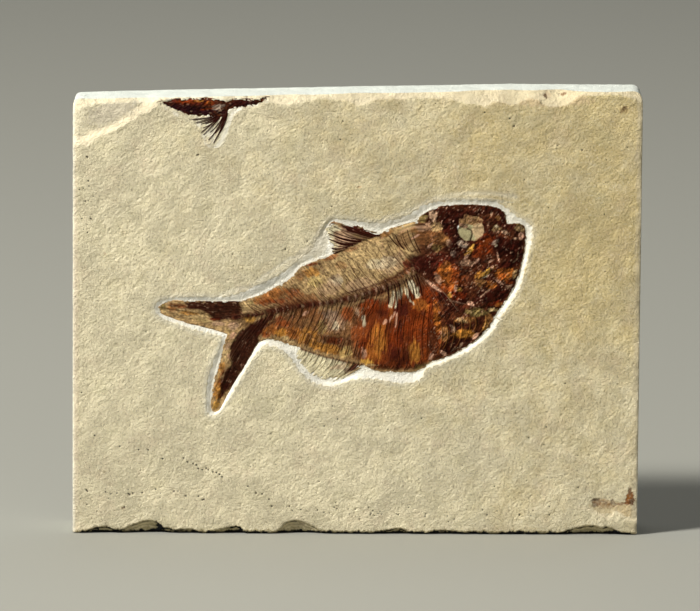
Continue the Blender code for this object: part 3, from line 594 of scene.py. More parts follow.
def slabRim():
    # the outline of the face, with its two upper corners rounded
    def corner(start, bend, end):
        steps = np.linspace(0.0, 1.0, 7)[:, None]
        start, bend, end = (np.array(p, float) for p in (start, bend, end))
        return (1 - steps) ** 2 * start + 2 * steps * (1 - steps) * bend + steps ** 2 * end

    top = slabShape["top"]
    left, right = slabShape["topLeft"], slabShape["topRight"]
    line = np.vstack([[slabShape["bottomLeft"]], corner(left, (left[0], top[0][1]), top[0]), top[1:-1],
                      corner(top[-1], (right[0], top[-1][1]), right), [slabShape["bottomRight"]]])
    rim = anticlockwise(evenly(line, slabShape["rimStep"], True))
    nick = hills(rim[:, 0], rim[:, 1], 2.4, 41) * 0.07 + hills(rim[:, 0], rim[:, 1], 6.0, 42) * 0.06
    onFoot = rise(rim[:, 1], 0.2, 2.5)
    centre = np.array([0.0, slabHeight / 2])
    inwards = (centre - rim) / np.abs(centre - rim).max(1, keepdims=True)
    return rim + inwards * (np.abs(nick) * onFoot)[:, None]


def edgeFishLoop():
    # the second fish's outline, carried on past the slab's top edge
    top = [(-61.6, 138.8), (-59.6, 139.2), (-58.2, 139.8), (-52.6, 139.9), (-47.6, 140.1), (-43.6, 139.8),
           (-41.1, 139.1), (-38.6, 139.9), (-34.6, 139.9), (-31.6, 139.8), (-28.6, 139.5)]
    under = [(-30.1, 138.2), (-33.6, 137.3), (-36.6, 136.9), (-39.8, 136.3), (-41.2, 134.2), (-43.0, 133.7),
             (-46.6, 134.2), (-50.6, 133.9), (-54.6, 134.8), (-58.6, 136.8), (-61.1, 138.2)]
    return np.array(top + under)


fishLoop = anticlockwise(loopOf(fishShape, "headTop", "nape", "dorsalMargin", "rearBack", "upperLeading",
                                "upperTrailing", "lowerTrailing", "lowerLeading", "rearBelly", "analMargin",
                                "frontBelly", "throat"))
edgeLoop = anticlockwise(edgeFishLoop())
moatLoop = curveThrough(moatShape["rim"], 3, True)
edgeMoatLoop = np.vstack([[(-65.0, 143.0), (-26.0, 143.0)], curveThrough(edgeHollow, 3)])


def besideFish(x, z):
    # how far inside the fish's outline each place is, and 1 where the nearest edge looks down and right
    loop = evenly(fishLoop, 1.0, True)
    gap, along = nearLine(loop, x, z, True)[:2]
    way = np.roll(loop, -1, 0) - loop
    look = (way[:, 1] + way[:, 0]) / np.hypot(*way.T) / math.sqrt(2)
    look = sum(np.roll(look, shift) for shift in range(-3, 4)) / 7
    run = np.concatenate([[0.0], np.cumsum(np.hypot(*way.T))])
    look = np.interp(along, run, np.append(look, look[0]))
    return np.where(inLoop(loop, x, z), gap, -gap), rise(look, -0.75, 0.75)


def moatFloor(gap, reach, looks):
    # depth of the hollow round the fish: a wall down from the rim, then the floor, then a low lip
    share = gap / (gap + reach + 1e-6)
    wall = np.clip(share / moatShape["slope"], 0.0, 1.0)
    wall = wall * (0.6 + 0.4 * wall * (2 - wall))
    shallow = np.clip(0.12 + 0.15 * (gap + reach), moatShape["shallow"] - 0.12, moatShape["shallow"])
    floor = shallow + (moatShape["deep"] - shallow) * looks
    lip = (shallow - moatShape["shallow"] + moatShape["lip"]) * (1 - looks) * (1 - rise(reach, 0.05, 0.8))
    return floor * wall - lip * rise(share, 0.3, 0.9)


def crestAt(x):
    return np.interp(x, *np.array(crestLine).T)


def chipTop(chip, x, beside):
    # height of a foot chip's upper edge, or the given height beside the chip
    line = np.array(chip)
    return np.interp(x, line[:, 0], line[:, 1], left=beside, right=beside)


def whiten(front, amount):
    front.chalk = np.maximum(front.chalk, amount)


def freshenAndLight(front, amount):
    front.warm = np.maximum(front.warm, amount)


def flakeCorner(front):
    # the layer gone from the top left corner, with its sloping ledge
    x, z = front.x, front.z
    gap, _, side = nearLine(np.array(cornerFlake), x, z)
    gap = gap * side + hills(x, z, 1.8, 21) * 0.35
    wide = np.interp(x, [-90.0, -84.0, -78.0, -70.0, -64.0], [3.2, 3.0, 2.4, 2.7, 3.4])
    front.depth += slabShape["flakeDepth"] * rise(gap, 0.0, wide) - 0.06 * np.exp(-((gap + 0.3) / 0.4) ** 2)
    band = rise(gap, -0.2, 0.3) * (1 - rise(gap, wide, wide + 0.7))
    whiten(front, 0.42 * band)
    freshenAndLight(front, 0.85 * band)
    whiten(front, 0.12 * rise(gap, 1.5, 2.3))
    # a paler patch where the flake meets the second fish
    away = np.hypot((x + 64.5) / 5.5, (z - 138.5) / 2.2) + hills(x, z, 1.6, 39) * 0.2
    whiten(front, 0.5 * (1 - rise(away, 0.75, 1.1)) * rise(gap, 0.0, 0.6))


def breakCrest(front):
    # the broken upper edge slopes back above the crest line
    x, z = front.x, front.z
    over = z - crestAt(x) - hills(x, z, 1.5, 22) * 0.3
    soft = sum(crestAt(x + step) for step in (-3.2, -1.6, 0.0, 1.6, 3.2)) / 5
    broken = 0.25 + np.maximum(z - soft + 0.3, 0.0) * (0.9 + 0.4 * rise(x, -10.0, 60.0))
    broken += hills(x, z, 2.2, 37) * 0.1 + hills(x, z, 0.8, 38) * 0.05
    front.depth += (0.12 + np.maximum(broken, 0.0)) * rise(over, -0.05, 0.25)
    torn = rise(over, -0.1, 0.25)
    whiten(front, 0.12 * torn)
    freshenAndLight(front, (0.6 + 0.25 * hills(x, z, 1.6, 77)) * torn)


def chipFoot(front):
    # shells knocked out of the foot, stepped by the beds, with painted shade: dark where they are deep, under
    # their upper lip and at their right end
    x, z = front.x, front.z
    jagged = hills(x, z * 0.2, 0.9, 23) * 0.16
    wavy = hills(x, z, 3.0, 24)
    lipped = rise(hills(x, z * 0.2, 2.4, 75), -0.35, 0.15)
    for chip in footChips:
        line = np.array(chip)
        under = chipTop(chip, x, -1.0) + jagged - z
        full = line[:, 1].max()
        scoop = np.clip(under / full, 0.0, 1.0)
        deepest = min(slabShape["chipDepth"], 0.5 + 0.36 * full)
        front.depth += np.where(under > 0, 0.1 + (1 - (1 - scoop) ** 2) * deepest, 0.0)
        front.depth += np.where(under > 0, 0.07 * np.sin(under * 4.2 + wavy), 0.0)
        beds = 0.5 + 0.5 * np.sin(under * 5.2 + 2 * wavy)
        lip = np.exp(-((under - 0.4) / 0.3) ** 2) * lipped
        # painted shade: the chip is tinted from olive to nearly black, darkest low down, under its lip and at
        # its right end
        low = rise(scoop, 0.45, 1.0) * 0.75 + 0.7 * (1 - full / 4.6) + 0.5 * (beds - 0.5) + 0.6 * lip
        span = np.ptp(line[:, 0])
        low += 1.1 * np.exp(-((x - line[-1, 0] + 0.11 * span) / (0.07 * span)) ** 2)
        front.soot = np.maximum(front.soot, np.clip(0.26 + low, 0.2, 1.25) * rise(under, -0.12, 0.2))


def wearEdges(front):
    # the foot and both sides are worn back from the face
    x, z = front.x, front.z
    foot = np.maximum(0.75 + 0.35 * hills(x, z * 0.1, 3.1, 25) + 0.2 * hills(x, z * 0.1, 1.2, 30), 0.25)
    front.depth += slabShape["footDepth"] * (1 - rise(z, 0.0, foot)) ** 1.5
    left, right = (np.interp(z, *zip(slabShape["bottom" + side][::-1], slabShape["top" + side][::-1]))
                   for side in ("Left", "Right"))
    left, right = x - left, right - x
    wear = slabShape["leftWear"] * (1 + 0.35 * hills(x * 0.1, z, 7.0, 26) + 0.25 * hills(x * 0.1, z, 2.2, 27))
    front.depth += slabShape["leftDepth"] * (1 - rise(left, -0.2, wear)) ** 1.7
    wear = slabShape["rightWear"] * (1 + 0.4 * hills(x * 0.1, z, 5.0, 28) + 0.3 * hills(x * 0.1, z, 1.7, 29))
    front.depth += slabShape["rightDepth"] * (1 - rise(right, -0.1, wear)) ** 1.6
    whiten(front, 0.6 * (1 - rise(left, 0.2, 1.3)))
    whiten(front, 0.8 * (1 - rise(right, 0.2, 0.6)))
    streak = 0.45 + 0.5 * hills(x, z * 0.12, 0.5, 78)
    freshenAndLight(front, streak * (1 - rise(right + 0.4 * hills(x * 0.1, z, 4.0, 79), 1.6, 2.6)))
    whiten(front, 0.35 * (1 - rise(z, 0.0, 0.9)))


def raiseLedge(front):
    # a thin layer is left on the lower right corner, below a jagged line
    x, z = front.x, front.z
    ledge = np.interp(x, [70.0, 72.0, 75.0, 77.0, 79.0, 80.5, 82.0, 83.0, 84.0, 86.0, 90.0],
                      [9.2, 8.8, 8.3, 7.0, 6.3, 5.3, 6.8, 7.5, 7.0, 5.5, 4.6])
    ledge = ledge + hills(x, z, 0.9, 40) * 0.25
    onLedge = rise(x, 69.0, 73.0) * rise(z, 1.6, 3.6)
    front.depth -= slabShape["ledgeRise"] * rise(ledge - z, -0.35, 0.3) * onLedge
    # painted highlight: a pale cream line along the ledge's edge
    freshenAndLight(front, 0.9 * np.exp(-((z - ledge) / 0.5) ** 2) * onLedge)


def digMoat(front):
    # the hollow dug round the fish, the pocket under it and the tool marks beside it
    x, z = front.x, front.z
    dug = inLoop(moatLoop, x, z)
    rimGap = nearLine(moatLoop, x, z, True)[0]
    inside, looks = besideFish(x, z)
    floor = np.where(dug, moatFloor(rimGap, np.maximum(-inside, 0.0), looks), 0.0)
    scratch = hills(x, z, 0.9, 31) * 0.05 + hills(x, z, 0.45, 32) * 0.03
    calm = 1 - 0.75 * rise(floor, 0.05, 0.5)
    depth = np.where(dug, front.depth * calm + floor + scratch * rise(floor, 0.1, 0.5), front.depth)
    level = fishShape["backEdge"] + (fishShape["bellyEdge"] - fishShape["backEdge"]) * looks
    level = level + np.interp(x, tailReach, [0.2, 0.0])
    depth = np.where(inside > 0.0, np.maximum(level + 0.05, depth * 0.4 + level * 0.6), depth)
    start = np.interp(x, tailReach, [0.3, 0.9])
    front.depth = depth + moatShape["pocket"] * rise(inside, start, start + 0.6)
    ragged = hills(x, z, 1.3, 33) * 0.45 + hills(x, z, 0.5, 34) * 0.2
    front.chalk = np.where(dug, np.maximum(front.chalk, rise(rimGap + ragged, 0.0, 0.7)), front.chalk)
    halo = (1 - rise(rimGap, 0.0, 1.6 + ragged)) * 0.3
    whiten(front, np.where(dug, 0.0, halo))
    for line, width, groove in scrapes:
        mark = np.exp(-(nearLine(curveThrough(line), x, z)[0] / width) ** 2)
        front.depth += groove * mark
        whiten(front, 0.4 * mark)
    return ragged


def digEdgeMoat(front, ragged):
    # the shallow hollow round the second fish
    x, z = front.x, front.z
    dug = inLoop(edgeMoatLoop, x, z)
    rimGap = nearLine(edgeMoatLoop, x, z, True)[0]
    inside = within(edgeLoop, x, z)
    share = rimGap / (rimGap + np.maximum(-inside, 0.0) + 1e-6)
    front.depth += np.where(dug, moatShape["edgeDepth"] * rise(share, 0.0, 0.8), 0.0)
    frayed = inside + hills(x, z, 1.1, 206) * 0.6 + hills(x, z, 0.55, 207) * 0.45
    front.depth += rise(frayed, 0.2, 0.6) * moatShape["edgePocket"]
    scraped = rise(rimGap + ragged, 0.0, 0.8) * (0.1 + 0.5 * rise(hills(x, z, 3.1, 35), -0.1, 0.35))
    scraped = np.maximum(scraped, 0.8 * np.exp(-(nearLine(np.array(edgeScrape), x, z)[0] / 0.9) ** 2))
    front.chalk = np.where(dug, np.maximum(front.chalk, scraped), front.chalk)


def sinkPits(front):
    for px, pz, size in allPits():
        away = np.hypot(front.x - px, front.z - pz)
        near = away < 3 * size
        hole = np.exp(-(away[near] / size) ** 3)
        front.depth[near] += slabShape["pitDepth"] * hole
        front.pit[near] = np.maximum(front.pit[near], 0.95 * hole)


def paintFootShade(front):
    x, z = front.x, front.z
    # painted shade: a dark ragged band along the bottom of the face, where it stands on the floor
    contactShade = rise(z + 0.45 * hills(x, z * 0.2, 1.4, 74) + 0.35 * hills(x, z * 0.3, 0.6, 76), 1.5, 0.6)
    contactShade *= 0.85 + 0.5 * rise(hills(x, z * 0.2, 2.7, 73), -0.4, 0.3)
    front.soot = np.maximum(front.soot, contactShade * rise(slabWidth / 2 - np.abs(x), 0.0, 2.5))


def slabRelief(x, z):
    # depth of the slab's front, and what colours it: chalk, pits, painted shade in the broken foot, and warm
    # broken stone with a painted highlight on one ledge
    front = SimpleNamespace(x=x, z=z)
    front.chalk, front.pit, front.soot, front.warm = np.zeros((4, *x.shape))
    swells = hills(x, z, 21.0, 11) * 0.6 + hills(x, z, 8.5, 12) * 0.35
    lumps = hills(x, z, 2.6, 13, 40, 1.5) * 0.75 + hills(x, z, 1.5, 14, 35, 1.3) * 0.75
    front.depth = swells * slabShape["swells"] + lumps * slabShape["lumps"]
    flakeCorner(front)
    breakCrest(front)
    chipFoot(front)
    wearEdges(front)
    raiseLedge(front)
    ragged = digMoat(front)
    digEdgeMoat(front, ragged)
    sinkPits(front)
    paintFootShade(front)
    return front


def allPits():
    draw = np.random.default_rng(7)
    found = [(x, z, 0.27) for x, z in pitPlaces]
    for line, count, stray in pitRows:
        run = evenly(np.array(line), 0.5)
        for _ in range(count):
            x, z = run[int(draw.uniform(0, len(run)))] + draw.normal(0.0, stray, 2)
            size = draw.uniform(0.13, 0.24)
            found.append((x, z, size))
    return found


def nearBreaks(places, extra):
    # whether each place is at a broken edge or a fine mark, where the points lie closer together
    x, z = places.T
    found = (z > crestAt(x) - 0.7 - extra) | (z < 2.2 + extra) | (np.abs(x) > slabWidth / 2 - 1.4 - extra)
    for chip in footChips:
        found |= z < chipTop(chip, x, 0) + 0.6 + extra
    found |= (nearLine(np.array(cornerFlake), x, z)[0] < 2.2 + extra) & (x < -60)
    found |= (x > 73.0 - 2 * extra) & (z < 15.5 + 2 * extra)
    return found | (within(edgeMoatLoop, x, z) > -0.3 - extra)


def slabPlaces(rim):
    # points of the front: dense in the hollow and at broken edges, sparse under the fish
    low, high = rim.min(0), rim.max(0)
    moat = scatter(moatLoop.min(0), moatLoop.max(0), slabShape["moatPitch"], 51)
    moat = moat[(within(fishLoop, *moat.T) < 1.7) & (within(moatLoop, *moat.T) > -0.5)]
    under = scatter(fishLoop.min(0), fishLoop.max(0), slabShape["underPitch"], 52)
    under = under[within(fishLoop, *under.T) > 2.4]
    edge = scatter(low, high, slabShape["edgePitch"], 53)
    edge = edge[nearBreaks(edge, 0.0)]
    face = scatter(low, high, slabShape["facePitch"], 54)
    face = face[~(nearBreaks(face, 0.2) | (within(moatLoop, *face.T) > -0.7))]
    turns = np.arange(6) * math.pi / 3
    ring = [(0.0, 0.0)] + [(far * math.cos(a), far * math.sin(a)) for far in (0.8, 1.7) for a in turns]
    holes = np.array([(x + size * c, z + size * s) for x, z, size in allPits() for c, s in ring])
    places = np.vstack([moat, under, edge, face, holes])
    return places[within(rim, *places.T) > 0.22]


def sawnWall(rim, depths):
    # sawn sides with faint beds running through them, and a worn back edge
    outwards = np.roll(rim, -1, 0) - np.roll(rim, 1, 0)
    outwards = np.stack([outwards[:, 1], -outwards[:, 0]], 1)
    outwards /= np.hypot(*outwards.T)[:, None]
    run = np.arange(len(rim)) * slabShape["rimStep"]
    offFoot = rise(rim[:, 1], 0.0, 1.5)
    shares = np.linspace(0.0, 1.0, slabShape["wallRows"] + 1)[1:-1]
    for share in shares:
        deep = depths + (slabThickness - 0.5 - depths) * share ** 1.15
        bed = hills(deep, run * 0.02, 1.1, 61) * 0.14
        rough = hills(run, deep, 2.3, 62) * 0.12 + hills(run, deep, 7.0, 63) * 0.16
        start = rise(deep - depths, 0.0, 1.2)
        yield rim - outwards * ((0.12 + bed + rough).clip(0.0) * start * offFoot)[:, None], deep
    for inset, depth in ((0.25, slabThickness - 0.35), (0.75, slabThickness)):
        yield rim - outwards * inset * (0.35 + 0.65 * offFoot[:, None]), np.full(len(rim), depth)


def slabTints(front):
    # colours that lie over the plain stone, and how strongly
    x, z = front.x, front.z
    tints = np.zeros((len(x), 4))
    tints[:, :3] = linear(*stoneLook["tan"])
    ragged = hills(x, z, 0.9, 71) * 0.3 + hills(x, z, 0.45, 72) * 0.3

    def blend(colour, share):
        tints[:, :3] += (colour - tints[:, :3]) * share[:, None]

    for patch in stoneTints + moatShadeAndTone:
        here = rise(oval(x, z, patch) * 1.4 + ragged, 0.0, 0.35) * patch[6]
        blend(np.array(linear(*patch[5])), here / np.maximum(here, tints[:, 3] + 1e-6))
        tints[:, 3] = np.maximum(tints[:, 3], here)
    # freshly broken edges are a warmer, cleaner cream, and the same cream is a painted highlight along the
    # lower right ledge
    freshAndLit = front.warm.clip(0, 1) * (1 - tints[:, 3])
    blend(np.array(linear(*stoneLook["warm"])), rise(freshAndLit, 0.0, 0.2))
    tints[:, 3] = np.maximum(tints[:, 3], freshAndLit)
    # painted shade in the broken foot: olive where it is light, then nearly black
    olive, shadeBlack = np.array(linear(*stoneLook["olive"])), np.array(linear(*stoneLook["shadeBlack"]))
    shadeTone = olive + (shadeBlack - olive) * rise(front.soot, 0.55, 1.1)[:, None]
    cover = rise(front.soot, 0.05, 0.5) * 0.92 + rise(front.soot, 0.7, 1.2) * 0.3
    blend(shadeTone, cover)
    tints[:, 3] = np.maximum(tints[:, 3], cover)
    return tints


def buildSlab(material):
    rim = slabRim()
    kept = {}

    def depthAt(x, z):
        kept["front"] = slabRelief(x, z)
        return kept["front"].depth

    back = scatter(rim.min(0), rim.max(0), slabShape["backPitch"], 55)
    back = back[within(rim, *back.T) > 2.0]
    piece = closedPiece("limestoneSlab", rim, slabPlaces(rim), depthAt, sawnWall, back)
    front = kept["front"]
    # the top, sides and back take a pale greenish sawn colour and much chalk, partly as a painted highlight
    # that whitens the top face
    keepColours(piece.data, "tint", slabTints(front), (*linear(*stoneLook["sawn"]), 0.9))
    keepValues(piece.data, "chalk", front.chalk.clip(0, 1), 0.9)
    keepValues(piece.data, "pit", front.pit)
    piece.data.materials.append(material)
    return piece


boneLook = {
    "glossy": 0.34,          # roughness of the smoothest and the dullest bone
    "dull": 0.62,
    "specular": 0.03,
    "lift": 1.18,            # how much paler the bone is than its palette
    "grain": 0.12,           # height of the relief that is too small for the mesh, in millimetres
    "crust": (34, 10, 5),    # dark grains
    "glint": (232, 186, 140),
    "haze": (62, 24, 12),    # clouds of darker bone
}
palette = {
    "plum": (34, 12, 15),
    "black": (42, 12, 6),
    "pitch": (48, 17, 9),
    "umber": (74, 38, 20),
    "maroon": (60, 20, 12),
    "red": (118, 40, 16),
    "rust": (110, 43, 12),
    "brick": (138, 64, 24),
    "brown": (112, 72, 40),
    "hazel": (134, 92, 50),
    "amber": (156, 90, 34),
    "honey": (172, 116, 46),
    "gold": (202, 150, 66),
    "straw": (190, 164, 104),
    "olive": (122, 104, 60),
    "tan": (164, 134, 90),
    "sand": (182, 154, 106),
    "buff": (176, 142, 112),
    "pink": (208, 160, 130),
    "grey": (140, 122, 104),
    "bone": (204, 192, 158),
    "matrix": (212, 200, 162),
}


def boneMaterial():
    material, board, shader = newMaterial("fossilBone", specular=boneLook["specular"])
    crust, glint, haze = ((*linear(*boneLook[name]), 1.0) for name in ("crust", "glint", "haze"))
    place = board.millimetres()
    stain = board.node("ShaderNodeAttribute", {"attribute_name": "stain"}, out="Color")
    grain = board.noise(place, 0.34, 3.0, 0.65, 2.3)
    cloud = board.noise(place, 1.6, 4.0, 0.6, 6.1)
    dark = board.mixed(grain.ramp(0.47, 0.3) * 0.6, stain, crust)
    light = board.node("ShaderNodeRGBToBW", {}, {0: stain})
    # painted highlight: pale glints are mixed into the lighter bone
    pale = board.mixed(grain.ramp(0.64, 0.76) * light.ramp(0.01, 0.16, 0.04, 0.4), dark, glint)
    colour = board.mixed(cloud.ramp(0.55, 0.35) * 0.3, pale, haze)
    plug(board, colour, shader, "Base Color")
    plug(board, cloud.ramp(0.3, 0.7, boneLook["glossy"], boneLook["dull"]), shader, "Roughness")
    relief = grain * 0.8 + board.noise(place, 0.8, 3.0, 0.6, 8.8)
    inputs = {"Height": relief, "Distance": boneLook["grain"] * mm, "Strength": 1.0}
    plug(board, board.node("ShaderNodeBump", {}, inputs), shader, "Normal")
    return material


